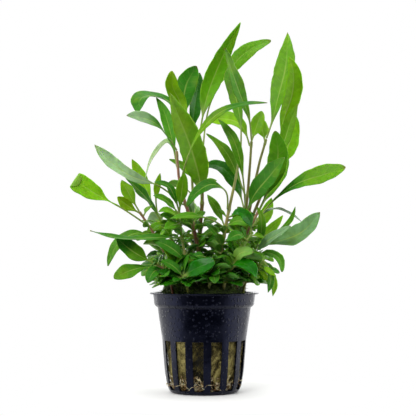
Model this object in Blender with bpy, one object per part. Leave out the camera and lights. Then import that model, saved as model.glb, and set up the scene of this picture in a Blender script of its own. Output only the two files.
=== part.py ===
"""A potted hygrophila: a slotted nursery pot, a plug of mineral wool, a mat of moss, and stems with leaves.

Metres in the scene, millimetres in the tables below. +Z is up and the origin is under the middle of the
pot's base. The plant shows its best side towards -Y. Every stem and shoot is one stalk with its own small
leaves grown onto it. Every large leaf is a piece of its own, with its foot a fraction of a millimetre off its
stalk.
"""

import math
from dataclasses import dataclass

import bmesh
import bpy
import numpy as np

MM = 0.001
GAP = 0.3

# The plant is described as it is sighted from the front: x and z where a point is seen against the upright
# plane through the pot's axis, and its depth behind that plane. EYE is where it is sighted from.
EYE = np.array((0.0, -620.0, 69.0))

# Pot: outer radius and height, from the base up to the lip.
POT_HEIGHT = 50.0
LIP_RADIUS = 27.5
COLLAR_RADIUS = 25.8
WALL = 0.9
FLOOR = 1.2
POT_OUTLINE = ((15.8, 0.0), (17.8, 1.2), (18.9, 4.2), (19.9, 10.5), (21.2, 26.8), (23.5, 42.4), (25.3, 45.0),
               (COLLAR_RADIUS, 49.1), (LIP_RADIUS, 49.2), (LIP_RADIUS, POT_HEIGHT))
POT_SIDES = 28
WINDOWS = 14
PILLAR_BEARING = 4.4
WINDOW_FOOT, WINDOW_HEAD = 1.7, 26.2
WINDOW_WIDTHS = (4.7, 5.7)
FLOOR_SLOTS = 7
SLOT_REACH = (8.5, 14.3)
SLOT_WIDTH = 2.6

# Plug of mineral wool and the moss on it, each from its underside to its top.
WOOL_OUTLINE = ((0.0, 1.6), (14.8, 1.6), (16.2, 2.4), (17.4, 4.6), (18.5, 10.5), (19.5, 26.0), (19.5, 40.0),
                (18.0, 46.0), (0.0, 46.0))
MOSS_FOOT, MOSS_TOP = 46.4, 54.6
MOSS_OUTLINE = ((0.0, MOSS_FOOT), (18.2, MOSS_FOOT), (19.4, 48.6), (18.9, 51.4), (16.6, 53.2), (9.0, 54.2),
                (0.0, MOSS_TOP))
BED_SIDES = 18
MOSS_SWELL = 0.7
MOSS_LOBES = 5
SOCKET_CLEARANCE = 0.35

# Stalks and leaves. A stalk is straight from its root to just above the moss, and bends from there on.
STRAIGHT_TO = 56.0
STALK_STEPS = 60
STALK_SIDES = 5
STALK_SECTION_SPACING = 12.0
PETIOLE_RADIUS = 0.45
BLADE_THICKNESS = 0.55
FOLD = 0.22
MIDRIB_STEPS = 40
LARGE_SECTIONS, SMALL_SECTIONS, PAIR_SECTIONS = 6, 5, 3
PAIR_PETIOLE = 0.15
PAIR_ROLL = 0.9
TURNS_TRIED = (0, 25, -25, 50, -50, 75, -75)
ROOM = 1.1


def sighted(point):
    """Where a point really is: pushed along its line of sight from the upright plane to its depth."""
    x, depth, z = point
    seen = np.array((x, 0.0, z))
    return EYE + (seen - EYE) * (depth - EYE[1]) / -EYE[1]


def unit(vector):
    return np.asarray(vector, float) / np.linalg.norm(vector)


def across(direction, toward):
    """toward, squared off against direction."""
    toward = np.asarray(toward, float)
    return unit(toward - np.dot(toward, direction) * direction)


def smooth_path(points, count):
    """count points, evenly spaced, on the smooth curve through the given ones (Hermite, averaged slopes)."""
    points = np.array(points, float)
    if len(points) == 2:
        return points[0] + np.linspace(0, 1, count)[:, None] * (points[1] - points[0])
    chords = np.linalg.norm(np.diff(points, axis=0), axis=1)[:, None]
    slopes = np.diff(points, axis=0) / chords
    inner = (slopes[:-1] * chords[1:] + slopes[1:] * chords[:-1]) / (chords[1:] + chords[:-1])
    tangents = np.vstack((1.5 * slopes[0] - 0.5 * inner[0], inner, 1.5 * slopes[-1] - 0.5 * inner[-1]))
    t = np.linspace(0, 1, 16, endpoint=False)[:, None]
    pieces = []
    for i, chord in enumerate(chords):
        pieces.append((2 * t**3 - 3 * t**2 + 1) * points[i] + (t**3 - 2 * t**2 + t) * chord * tangents[i]
                      + (3 * t**2 - 2 * t**3) * points[i + 1] + (t**3 - t**2) * chord * tangents[i + 1])
    fine = np.vstack((*pieces, points[-1:]))
    run = np.append(0, np.cumsum(np.linalg.norm(np.diff(fine, axis=0), axis=1)))
    places = np.linspace(0, run[-1], count)
    return np.column_stack([np.interp(places, run, fine[:, k]) for k in range(3)])


def tangents_of(path):
    steps = np.gradient(path, axis=0)
    return steps / np.linalg.norm(steps, axis=1)[:, None]


@dataclass
class Stalk:
    """A stalk: sighted points from the root up, and the radius, which falls evenly from root to top."""

    points: tuple
    root_radius: float
    top_radius: float

    def __post_init__(self):
        path = smooth_path([sighted(p) for p in self.points], STALK_STEPS + 1)
        leaves_bed = int(np.argmax(path[:, 2] > STRAIGHT_TO))
        length = np.linalg.norm(np.diff(path[leaves_bed:], axis=0), axis=1).sum()
        bends = max(3, round(length / STALK_SECTION_SPACING))
        self.steps = np.append(0, np.round(np.linspace(leaves_bed, STALK_STEPS, bends + 1)))
        self.path = path[self.steps.astype(int)]
        self.radii = self.root_radius + (self.top_radius - self.root_radius) * self.steps / STALK_STEPS

    def place(self, share):
        at = share * STALK_STEPS
        return np.array([np.interp(at, self.steps, self.path[:, k]) for k in range(3)])

    def radius(self, share):
        return float(np.interp(share * STALK_STEPS, self.steps, self.radii))

    def direction(self, share):
        return unit(self.place(min(1.0, share + 0.05)) - self.place(max(0.0, share - 0.05)))

    def tube(self, extra=0.0, end=0.0, sections=None):
        """The stalk, or its first sections, as a tube: extra wider all round, and end longer at its root."""
        path, along = self.path.copy(), tangents_of(self.path)
        path[0] -= along[0] * end
        turn = np.linspace(0, 2 * math.pi, STALK_SIDES, endpoint=False)
        rings = []
        for centre, direction, radius in zip(path, along, self.radii + extra):
            side = across(direction, (1, 0.2, 0))
            other = np.cross(direction, side)
            rings.append([centre + radius * (math.cos(a) * side + math.sin(a) * other) for a in turn])
        return loft(rings[:sections])


@dataclass
class Leaf:
    """A leaf: its stalk, how far up it sits, sighted points from there to the tip, and its greatest width.

    face and tip_face are the ways its upper side looks at the foot and at the tip. petiole is the share of
    the length that is bare stalk, belly where the blade is widest, blunt how pointed the tip is (1 is
    pointed).
    """

    stalk: str
    at: float
    points: tuple
    width: float
    face: tuple
    tip_face: tuple = None
    petiole: float = 0.12
    belly: float = 0.55
    blunt: float = 0.8

    def onward(self):
        return [sighted(p) for p in self.points]

    def free_line(self, stalk):
        """The midrib of a leaf that is a piece of its own: it starts a gap off its stalk's skin or end."""
        centre, axis = stalk.place(self.at), stalk.direction(self.at)
        start = unit(self.onward()[0] - centre)
        clear = stalk.radius(self.at) + GAP
        if self.at < 1:
            clear += PETIOLE_RADIUS * abs(np.dot(start, axis))
            start = across(axis, start)
        return [centre + start * clear] + self.onward()

    def grown_line(self, stalk):
        """The midrib of a leaf that is one with its stalk: it starts inside it."""
        return [stalk.place(self.at)] + self.onward()

    def rings(self, line, count):
        """The leaf's chevron sections, each (edge, upper side, edge, under side), and its tip."""
        path = smooth_path(line, MIDRIB_STEPS + 1)
        along = tangents_of(path)
        power = math.log(0.5) / math.log(self.belly)
        foot_face, tip_face = np.array(self.face), np.array(self.tip_face or self.face)
        rings = []
        for share in np.linspace(0, 1, count, endpoint=False):
            i = int(round(share * MIDRIB_STEPS))
            blade = max(0.0, (share - self.petiole) / (1 - self.petiole))
            point = 1.15 + (self.blunt - 1.15) * blade
            half = 0.5 * self.width * math.sin(math.pi * blade**power) ** point
            half = max(half, PETIOLE_RADIUS * (1 - 0.3 * share))
            thick = PETIOLE_RADIUS * (1 - blade) + 0.5 * BLADE_THICKNESS * blade
            normal = across(along[i], foot_face * (1 - share) + tip_face * share)
            side = np.cross(along[i], normal)
            rise = FOLD * max(0.0, half - PETIOLE_RADIUS)
            rings.append([path[i] + half * side + rise * normal, path[i] + thick * normal,
                          path[i] - half * side + rise * normal, path[i] - thick * normal])
        return rings, path[-1]

    def mesh(self, line, count, flat=False):
        """The leaf as a closed mesh. A flat one loses its sections' upper corner."""
        rings, tip = self.rings(line, count)
        if flat:
            rings = [(ring[0], ring[2], ring[3]) for ring in rings]
        return loft(rings, tip)

    def samples(self, line, count):
        """Points over the leaf but for its foot: its sections' corners, and between edges and middle."""
        rings, tip = self.rings(line, count)
        corners = np.array(rings[count // 4:])
        between = (corners[:, (0, 2)] + corners[:, 1, None]) / 2
        return np.vstack((corners[:, :3].reshape(-1, 3), between.reshape(-1, 3), tip))


@dataclass
class Pairs:
    """Opposite pairs of small leaves, each turned a quarter on the last.

    They go from the first to the last place up the stalk. bearing is the first pair's, in degrees.
    """

    stalk: str
    first: float
    last: float
    count: int
    length: float
    width: float
    bearing: float

    def candidates(self, stalk):
        """For each leaf of each pair, the ways it may turn, each as a line and the leaf on it."""
        for i in range(2 * self.count):
            pair = i // 2
            share = min(0.97, self.first + (self.last - self.first) * pair / (self.count - 1))
            shrink = 1 - 0.35 * pair / self.count
            bearing = self.bearing + 90 * pair + 180 * i
            yield [self.turned_leaf(stalk, share, shrink, bearing + turn) for turn in TURNS_TRIED]

    def turned_leaf(self, stalk, share, shrink, bearing):
        """Line and leaf: it stands out from its stalk, bends up along it and rolls to one side."""
        centre, axis = stalk.place(share), stalk.direction(share)
        side = across(axis, (1, 0.2, 0))
        angle = math.radians(bearing)
        out = math.cos(angle) * side + math.sin(angle) * np.cross(axis, side)
        length = self.length * shrink
        middle = centre + length * (0.42 * out + 0.36 * axis)
        line = [centre, middle, centre + length * (0.88 * out + 0.48 * axis)]
        face = axis - 0.4 * out + PAIR_ROLL * np.cross(out, axis)
        return line, Leaf(self.stalk, share, (), self.width * shrink, tuple(face), petiole=PAIR_PETIOLE)


STALKS = {
    "stem_centre": Stalk(
                         ((-1, 3, 42), (-2, 2.5, 65), (-2.3, 2, 80), (-0.9, 3, 97), (-1.3, 4, 114),
                          (-2.4, 5, 130)),
                         root_radius=1.4, top_radius=0.6),
    "stem_back_left": Stalk(
                            ((-5, 11, 42), (-6, 12, 70), (-5.5, 12, 90), (-6.2, 12, 107), (-7.2, 12, 122),
                             (-8.6, 11, 134)),
                            root_radius=1.0, top_radius=0.55),
    "stem_left_upright": Stalk(
                               ((-3, -6, 42), (-2.7, -7, 70), (-4.2, -8, 78), (-7.2, -8, 89),
                                (-10.4, -8, 97), (-13, -8, 109), (-14, -8, 122)),
                               root_radius=1.2, top_radius=0.6),
    "stem_left_pale": Stalk(
                            ((-8, -11, 42), (-9.3, -12, 67), (-10.4, -12, 73.5), (-12, -12, 81),
                             (-12.6, -12, 91)),
                            root_radius=0.9, top_radius=0.5),
    "stem_left_inner": Stalk(
                             ((-10, 2, 42), (-11, 2, 62), (-13.4, 2, 69.5), (-18, 3, 80), (-22, 4, 86),
                              (-25, 4, 91)),
                             root_radius=0.9, top_radius=0.55),
    "stem_left_outer": Stalk(
                             ((-14, -4, 42), (-16, -5, 62), (-20, -6, 70), (-24, -7, 77), (-28.5, -8, 85),
                              (-33, -8, 91)),
                             root_radius=0.9, top_radius=0.55),
    "stem_centre_right": Stalk(
                               ((7, -9, 42), (8.3, -10, 61), (8.5, -10, 70), (10.8, -10, 83),
                                (14.3, -10, 100), (16.5, -10, 110), (18.6, -10, 122)),
                               root_radius=1.05, top_radius=0.6),
    "stem_right_inner": Stalk(
                              ((9, 3, 42), (12.5, 1, 62), (17.5, -2, 75), (20.6, -3, 88), (22.7, -3, 108),
                               (24, -3, 127)),
                              root_radius=1.1, top_radius=0.6),
    "stem_right_tall": Stalk(
                             ((13.5, -3, 42), (16.5, 0, 64), (20.5, 2, 80), (24, 3, 97), (27.5, 4, 114),
                              (31.6, 4, 128)),
                             root_radius=1.1, top_radius=0.6),
    "stem_right_back": Stalk(
                             ((11, 9, 42), (15, 10, 60), (21, 11, 80), (28, 11, 97), (34, 9, 112),
                              (38, 6, 124)),
                             root_radius=1.1, top_radius=0.6),
    "stem_right_low": Stalk(((15, -9, 42), (17.5, -10, 62), (19.5, -10, 73), (23.5, -9, 84), (28, -8, 92)),
                            root_radius=1.0, top_radius=0.6),
    "shoot_front_left": Stalk(((-6, -15, 42), (-7.5, -18, 51), (-10.5, -22, 58)), root_radius=0.7,
                              top_radius=0.5),
    "shoot_front_mid": Stalk(((1.5, -15, 42), (2.5, -18, 52), (3, -20, 60), (2, -20, 67)), root_radius=0.7,
                             top_radius=0.4),
    "shoot_front_right": Stalk(
                               ((9, -14, 42), (10.2, -17, 56), (14.5, -20, 62.5), (19, -21, 72),
                                (24, -21, 79.5)),
                               root_radius=0.8, top_radius=0.5),
    "shoot_right": Stalk(((16.5, 2, 42), (20, 2, 56), (23, 0, 66), (26.5, -3, 73)), root_radius=0.8,
                         top_radius=0.5),
    "shoot_right_trailing": Stalk(((16.8, -4.5, 42), (20, -8, 54), (25, -12, 60), (30, -13, 66)),
                                  root_radius=0.7, top_radius=0.4),
    "shoot_left": Stalk(((-14, -11, 42), (-16.5, -14, 54), (-19.5, -16, 61), (-24, -17, 64)), root_radius=0.8,
                        top_radius=0.5),
    "shoot_back_left": Stalk(((-9, 14, 42), (-12, 18, 54), (-17, 23, 64), (-22, 26, 76)), root_radius=0.8,
                             top_radius=0.45),
    "shoot_back_right": Stalk(((4, 15, 42), (6, 20, 54), (10, 25, 66), (15, 28, 78)), root_radius=0.8,
                              top_radius=0.45),
}

# Large leaves, each a piece of its own.
LEAVES = {
    "leaf_spear": Leaf("stem_centre", 1.0, ((1.4, 3, 149), (8.8, -3, 168.5), (18.6, -10, 187.3)), width=9.6,
                       face=(-0.8, -0.8, 0), tip_face=(0.6, -0.8, 0.1), belly=0.6),
    "leaf_upper_right": Leaf("stem_centre", 0.9,
                             ((3.5, 12, 147), (12.5, 20, 162.5), (22, 27, 172.6), (34, 32, 178)), width=8.6,
                             face=(0.4, -0.9, 0.1), tip_face=(0.3, -0.7, 0.6), petiole=0.42, belly=0.62,
                             blunt=0.6),
    "leaf_centre_front": Leaf("stem_right_inner", 1.0,
                              ((22.6, -6, 139), (18, -11, 151), (14.2, -16, 162), (10.4, -22, 174.5)),
                              width=8.2, face=(0.5, -0.9, 0.1), tip_face=(0.5, -0.8, 0.3)),
    "leaf_centre_behind": Leaf("stem_centre_right", 1.0,
                               ((18.6, -5, 134), (17, 2, 145), (13.5, 9, 158), (9.5, 16, 171)), width=8.6,
                               face=(-0.6, -0.9, 0), tip_face=(-0.6, -0.7, 0)),
    "leaf_tall_right": Leaf("stem_right_tall", 1.0,
                            ((34.3, 5, 136), (37.3, 8, 148), (41.5, 13, 165), (42.2, 20, 182.3)), width=11.6,
                            face=(-0.5, -0.9, 0), tip_face=(-0.4, -0.9, 0), petiole=0.06),
    "leaf_tall_right_front": Leaf("stem_right_back", 1.0,
                                  ((40.5, -3, 138), (44.8, -8, 151), (45.4, -12, 162), (43, -14, 170)),
                                  width=10.0, face=(0.5, -0.9, 0), tip_face=(0.4, -0.9, 0.1), petiole=0.08),
    "leaf_tall_right_low": Leaf("stem_right_back", 0.92, ((40.5, -6, 126), (44, -9, 137), (47.6, -11, 145.7)),
                                width=7.0, face=(-0.3, -0.9, 0.2), tip_face=(-0.4, -0.8, 0.2), petiole=0.1),
    "leaf_lobe_right": Leaf("stem_right_back", 0.8, ((38.6, 11, 116), (43.6, 14, 127), (46.6, 17, 139.5)),
                            width=9.6, face=(0.3, -1, 0), petiole=0.1),
    "leaf_round_right": Leaf("stem_right_low", 1.0, ((34, -13, 106), (37.4, -17, 119), (36, -20, 132)),
                             width=10.4, face=(0.3, -1, 0.1), tip_face=(0, -1, 0.2), petiole=0.1, blunt=0.6),
    "leaf_broad_right": Leaf("stem_right_inner", 0.55, ((25, -12, 98.5), (33.5, -20, 109), (41, -26, 118.4)),
                             width=11.0, face=(-0.3, -0.9, 0.4), tip_face=(-0.2, -0.9, 0.4), petiole=0.04,
                             belly=0.6, blunt=0.65),
    "leaf_long_right": Leaf("stem_right_low", 0.9, ((33, -4, 101), (38.4, 0, 112), (42.2, 5, 123)), width=9.6,
                            face=(-0.5, -0.8, 0.2), tip_face=(-0.4, -0.9, 0.2), petiole=0.15),
    "leaf_wing_right": Leaf("stem_right_low", 0.82,
                            ((37.5, -12, 98.6), (49.5, -17, 106), (60.5, -21, 109.4), (72, -24, 113.4)),
                            width=9.6, face=(-0.2, -0.85, 0.5), tip_face=(0, -0.9, 0.5), petiole=0.2,
                            blunt=0.55, belly=0.6),
    "leaf_grey_right": Leaf("shoot_right", 1.0, ((37, -7, 75.6), (48.5, -12, 79.8), (58.8, -16, 90.6)),
                            width=10.0, face=(-0.1, -0.8, 0.6), tip_face=(-0.2, -0.85, 0.5), petiole=0.08,
                            blunt=0.6),
    "leaf_grey_inner": Leaf("shoot_right", 0.8, ((29, -10, 73.5), (36, -16, 78.5), (44, -21, 83.5)),
                            width=7.0, face=(-0.1, -0.8, 0.6), petiole=0.15),
    "leaf_arch_right": Leaf("stem_right_low", 0.7, ((30, -6, 90), (36, -2, 92.4), (44, 2, 89.5), (51, 5, 84)),
                            width=6.0, face=(0, -0.1, 1), tip_face=(0.3, -0.2, 1), petiole=0.25),
    "leaf_pale_left": Leaf("stem_left_upright", 0.66,
                           ((-23.4, -13, 104), (-36, -20, 108.2), (-47.2, -25, 115.8), (-55.8, -29, 125)),
                           width=9.0, face=(0.2, -0.8, 0.6), tip_face=(0.3, -0.8, 0.5), petiole=0.26),
    "leaf_folded_left": Leaf("stem_left_outer", 0.88,
                             ((-42.8, -12, 93.2), (-55.4, -14, 100), (-68, -15, 108.4)), width=9.8,
                             face=(0.2, -0.9, 0.4), petiole=0.3, belly=0.7, blunt=0.4),
    "leaf_lime_left": Leaf("stem_left_outer", 1.0, ((-37.4, -6, 98.5), (-42, -3, 106.8)), width=6.5,
                           face=(0.2, -1, 0.1), petiole=0.1),
    "leaf_lime_behind": Leaf("stem_left_inner", 1.0, ((-28, 5, 99.2), (-32.2, 7, 108), (-36.8, 8, 117.6)),
                             width=6.4, face=(0.3, -1, 0), petiole=0.12),
    "leaf_dark_left": Leaf("stem_left_inner", 0.86, ((-28.5, 0, 96.5), (-34, -2, 102.5), (-40, -4, 108.4)),
                           width=6.5, face=(0.3, -0.6, 0.7), petiole=0.1),
    "leaf_thread_left": Leaf("stem_left_upright", 0.8, ((-19.6, 2, 126.6), (-26, 4, 119), (-30.4, 5, 105)),
                             width=3.6, face=(-0.6, -0.5, 0.6), tip_face=(-0.8, -0.5, 0.2), petiole=0.2),
    "leaf_flat_left": Leaf("stem_left_upright", 0.28,
                           ((-11, -14, 76.6), (-24, -20, 77.6), (-40, -25, 77), (-57.9, -28, 81.2)),
                           width=8.5, face=(0.3, -0.2, 1), tip_face=(0.1, -0.5, 0.9), petiole=0.2),
    "leaf_low_left": Leaf("shoot_left", 1.0, ((-30, -19, 67), (-38, -21, 72), (-44.5, -22, 77.8)), width=9.0,
                          face=(0.2, -0.9, 0.5), tip_face=(0.2, -0.9, 0.4), petiole=0.08, blunt=0.65),
    "leaf_drooping_left": Leaf("stem_left_outer", 0.66,
                               ((-33, -12, 80), (-43.4, -14, 74.6), (-48.8, -15, 63)), width=6.5,
                               face=(-0.2, -0.8, 0.6), tip_face=(-0.6, -0.8, 0.1), petiole=0.12),
    "leaf_paddle_left": Leaf("shoot_left", 0.85, ((-28, -17, 62.6), (-37, -21, 61), (-45.8, -24, 57)),
                             width=7.6, face=(0, -0.8, 0.6), tip_face=(0, -0.9, 0.4), petiole=0.15,
                             belly=0.65, blunt=0.6),
    "leaf_hook_left": Leaf("stem_back_left", 0.9,
                           ((-15.5, 12, 145), (-25, 4, 149.4), (-32, -4, 148.4), (-33.6, -9, 140.4)),
                           width=8.0, face=(-0.1, -0.5, 0.8), tip_face=(-0.6, -0.9, 0.1), petiole=0.15,
                           belly=0.68),
    "leaf_curl_left": Leaf("stem_left_upright", 1.0,
                           ((-18.6, -13, 129), (-24.5, -18, 135.4), (-31.5, -22, 138.4), (-39.6, -26, 139.6)),
                           width=7.0, face=(0.3, -0.6, 0.7), tip_face=(0, -0.8, 0.6), petiole=0.1),
    "leaf_mid_left": Leaf("stem_left_upright", 0.9, ((-17.2, -3, 131), (-21, -1, 143), (-24.6, 0, 149)),
                          width=6.0, face=(0.1, -1, 0), tip_face=(0.1, -1, 0.2), petiole=0.12),
    "leaf_broad_centre": Leaf("stem_centre", 0.6,
                              ((-2.5, -7, 108), (-7.2, -12, 124), (-12.5, -18, 138), (-17.8, -24, 151.5)),
                              width=14.5, face=(0.4, -1, 0.1), petiole=0.08),
    "leaf_lime_top": Leaf("stem_back_left", 0.94, ((-12.5, 5, 147), (-16, 0, 154.5), (-16.2, -5, 162.5)),
                          width=8.6, face=(-0.4, -1, 0), petiole=0.12, blunt=0.5),
    "leaf_cupped_top": Leaf("stem_back_left", 1.0, ((-10.6, 14, 146), (-9, 17, 156), (-3.6, 20, 164.6)),
                            width=10.6, face=(0.4, -1, 0.1), petiole=0.1, blunt=0.5),
    "leaf_dark_top": Leaf("stem_back_left", 0.88, ((-5, 17, 143), (-3.6, 22, 152), (-2.2, 28, 161.5)),
                          width=8.6, face=(0.5, -1, 0), petiole=0.15, blunt=0.6),
    "leaf_sash": Leaf("stem_left_upright", 0.8,
                      ((-9, -18, 116.5), (-3.5, -22, 129), (9, -25, 141.7), (20, -25, 145.4),
                       (32.4, -23, 146.1)),
                      width=5.0, face=(-0.5, -0.7, 0.5), tip_face=(0, -0.6, 0.8), petiole=0.2),
    "leaf_behind_centre": Leaf("stem_right_inner", 0.97, ((17, 5, 136), (8, 9, 138), (-0.5, 11, 136.5)),
                               width=8.5, face=(0, -0.85, 0.5), tip_face=(0, -0.9, 0.4), petiole=0.1),
    "leaf_strap_centre": Leaf("stem_right_inner", 0.6,
                              ((20, -13, 105), (18.6, -16, 115), (14.6, -16, 128), (7, -13, 138)), width=5.2,
                              face=(-0.3, -0.8, 0.5), petiole=0.3),
    "leaf_long_centre": Leaf("stem_right_inner", 0.68, ((16.5, 0, 110), (11, 1, 121), (0.9, 0, 130.5)),
                             width=5.6, face=(-0.2, -0.8, 0.6), petiole=0.1),
    "leaf_dark_arch": Leaf("stem_right_inner", 0.6,
                           ((16.2, 3, 104), (9, 7, 113.2), (2.4, 10, 114.2), (-1, 12, 111)), width=8.5,
                           face=(-0.1, -0.6, 0.8), tip_face=(-0.3, -0.5, 0.8), petiole=0.08),
    "leaf_arch_centre": Leaf("stem_centre_right", 0.62,
                             ((10.6, -15, 101.5), (3.5, -19, 104.5), (-3, -21, 101), (-9, -21, 93)),
                             width=7.5, face=(-0.1, -0.75, 0.7), tip_face=(-0.5, -0.8, 0.3), petiole=0.25),
}

# Small leaves set by eye, grown onto their stalks.
SMALL_LEAVES = (
    Leaf("stem_left_outer", 0.97, ((-39, -9.5, 94), (-44, -12, 98.4)), width=6.0, face=(0.2, -1, 0.2)),
    Leaf("stem_left_pale", 0.99, ((-11.5, -17, 100), (-10, -20, 111)), width=6.0, face=(0.2, -1, 0),
         petiole=0.08),
    Leaf("stem_left_pale", 0.82, ((-18, -17, 88), (-22.4, -20, 89)), width=6.0, face=(0, -0.8, 0.6)),
    Leaf("stem_left_pale", 0.86, ((-16, -20, 84), (-20.2, -24, 82)), width=5.5, face=(0, -0.9, 0.5)),
    Leaf("stem_left_inner", 0.6, ((-22, -3, 83), (-29, -6, 80.5)), width=7.0, face=(0, -0.8, 0.6),
         tip_face=(-0.2, -0.9, 0.4), blunt=0.6),
    Leaf("stem_left_inner", 0.8, ((-24, 9, 86), (-27.5, 13, 90)), width=8.0, face=(0, -1, 0.2), blunt=0.6),
    Leaf("stem_centre_right", 0.5, ((4, -15, 86.5), (-4.5, -20, 88.6), (-18, -25, 87)), width=5.5,
         face=(0, -0.6, 0.8), petiole=0.4),
    Leaf("stem_centre_right", 0.5, ((6.5, -7, 92), (1.5, -5, 99.5)), width=4.5, face=(-0.3, -0.9, 0.3)),
    Leaf("stem_centre_right", 0.5, ((17, -15, 86), (24, -16, 84)), width=6.5, face=(0, -0.8, 0.6),
         tip_face=(0, -0.9, 0.4)),
    Leaf("stem_right_tall", 0.97, ((29, 9, 133), (25.4, 12, 138.5)), width=8.0, face=(0.2, -0.9, 0.3)),
    Leaf("stem_right_inner", 0.99, ((26.5, 2, 134), (29.4, 4, 142)), width=7.0, face=(0, -1, 0.2), blunt=0.6),
    Leaf("stem_right_back", 0.45, ((31, 17, 89), (34, 20, 98)), width=6.5, face=(0, -1, 0.1)),
    Leaf("stem_right_back", 0.3, ((34, 18, 82), (40, 22, 89)), width=5.5, face=(0, -0.9, 0.4)),
    Leaf("shoot_front_left", 0.99, ((-3, -26, 62.5), (5.6, -27, 65.4)), width=7.6, face=(0, -0.9, 0.5),
         tip_face=(-0.2, -0.9, 0.5), blunt=0.5, petiole=0.05),
    Leaf("shoot_front_left", 0.9, ((-17, -24, 64), (-22, -24, 66)), width=6.0, face=(0, -0.6, 0.8),
         tip_face=(0, -0.7, 0.7), blunt=0.6),
    Leaf("shoot_front_mid", 0.7, ((5, -25, 58), (5.6, -28, 54.5)), width=5.5, face=(0, -1, 0.4),
         tip_face=(0, -1, 0.2), blunt=0.6),
    Leaf("shoot_front_mid", 0.99, ((-2, -23, 68.5), (-7, -24, 67)), width=4.5, face=(0, -0.7, 0.7),
         tip_face=(0, -0.8, 0.6), blunt=0.6),
    Leaf("shoot_front_right", 0.58, ((18.5, -25, 69.8), (25, -27, 70.2)), width=6.4, face=(0, -0.9, 0.5),
         blunt=0.55),
    Leaf("shoot_front_right", 0.42, ((17, -25, 65), (23.6, -28, 62.5), (26.4, -29, 57)), width=7.5,
         face=(-0.3, -0.1, 1), tip_face=(0.5, -0.9, 0.2), blunt=0.6),
    Leaf("shoot_front_right", 0.99, ((22.4, -25, 87), (17.5, -27, 90.4), (14, -28, 89)), width=6.5,
         face=(0.3, -0.7, 0.7), tip_face=(-0.3, -0.8, 0.5), petiole=0.1),
    Leaf("shoot_front_right", 0.9, ((17, -27, 79), (11.5, -29, 76)), width=6.0, face=(0, -0.8, 0.6),
         tip_face=(-0.3, -0.9, 0.3)),
    Leaf("shoot_right", 0.76, ((32, -4, 70), (37.6, -6, 67.4), (39.4, -7, 60)), width=5.6,
         face=(0.2, -0.8, 0.5), tip_face=(0.6, -0.8, 0.2), petiole=0.2, blunt=0.6),
    Leaf("shoot_right_trailing", 0.99, ((33.5, -16, 60), (32.2, -18, 49.6)), width=4.0, face=(0.5, -0.9, 0.2),
         tip_face=(0.3, -1, 0)),
    Leaf("shoot_right_trailing", 0.9, ((35, -11, 57), (34.6, -12, 47.8)), width=3.6, face=(0.5, -0.9, 0.2),
         tip_face=(0.3, -1, 0)),
    Leaf("shoot_left", 0.75, ((-24.5, -21, 61), (-28.6, -24, 54.6)), width=7.0, face=(-0.1, -0.9, 0.5),
         tip_face=(-0.3, -0.9, 0.2)),
    Leaf("shoot_left", 0.6, ((-15.5, -19, 69), (-22.5, -21, 75.5)), width=8.5, face=(0.3, -0.8, 0.5)),
)

# Small leaves by rule. A leaf with no room for it is left out.
PAIRED = (
    Pairs("shoot_front_left", 0.55, 0.8, count=2, length=9.0, width=4.4, bearing=20),
    Pairs("shoot_front_mid", 0.5, 0.9, count=3, length=7.5, width=3.6, bearing=60),
    Pairs("shoot_front_right", 0.35, 0.8, count=3, length=8.5, width=3.8, bearing=40),
    Pairs("shoot_right", 0.5, 0.95, count=3, length=9.0, width=4.0, bearing=45),
    Pairs("shoot_right_trailing", 0.55, 0.9, count=3, length=7.5, width=2.6, bearing=30),
    Pairs("shoot_left", 0.5, 0.7, count=2, length=8.5, width=4.0, bearing=70),
    Pairs("shoot_back_left", 0.45, 1.0, count=3, length=18.0, width=7.0, bearing=30),
    Pairs("shoot_back_right", 0.45, 1.0, count=3, length=18.0, width=7.0, bearing=75),
    Pairs("stem_centre", 0.2, 0.45, count=3, length=17.0, width=6.8, bearing=30),
    Pairs("stem_back_left", 0.2, 0.62, count=4, length=20.0, width=7.6, bearing=70),
    Pairs("stem_left_upright", 0.22, 0.52, count=3, length=13.0, width=5.4, bearing=15),
    Pairs("stem_left_pale", 0.33, 0.7, count=2, length=9.0, width=4.2, bearing=50),
    Pairs("stem_left_inner", 0.3, 0.7, count=3, length=13.0, width=5.4, bearing=80),
    Pairs("stem_left_outer", 0.3, 0.6, count=2, length=9.0, width=4.4, bearing=35),
    Pairs("stem_centre_right", 0.22, 0.45, count=3, length=12.0, width=5.4, bearing=65),
    Pairs("stem_right_inner", 0.22, 0.46, count=3, length=14.0, width=6.0, bearing=10),
    Pairs("stem_right_tall", 0.2, 0.45, count=3, length=17.0, width=6.8, bearing=55),
    Pairs("stem_right_back", 0.2, 0.5, count=3, length=17.0, width=7.0, bearing=25),
    Pairs("stem_right_low", 0.3, 0.62, count=3, length=12.0, width=5.2, bearing=80),
)


class Room:
    """The air between the leaves: points all over every piece set so far, and whose they are."""

    def __init__(self):
        self.points = np.empty((0, 3))
        self.owners = np.empty(0, str)

    def take(self, points, owner):
        self.points = np.vstack((self.points, points))
        self.owners = np.append(self.owners, [owner] * len(points))

    def fits(self, points, stalk_name):
        """Whether points keep clear of all but their own stalk, and clear of the moss and the pot."""
        others = self.points[self.owners != stalk_name]
        apart = np.linalg.norm(points[:, None] - others[None], axis=2).min()
        over_bed = np.hypot(points[:, 0], points[:, 1]) < LIP_RADIUS + ROOM
        return apart > ROOM and points[over_bed, 2].min(initial=math.inf) > MOSS_TOP + ROOM


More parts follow.
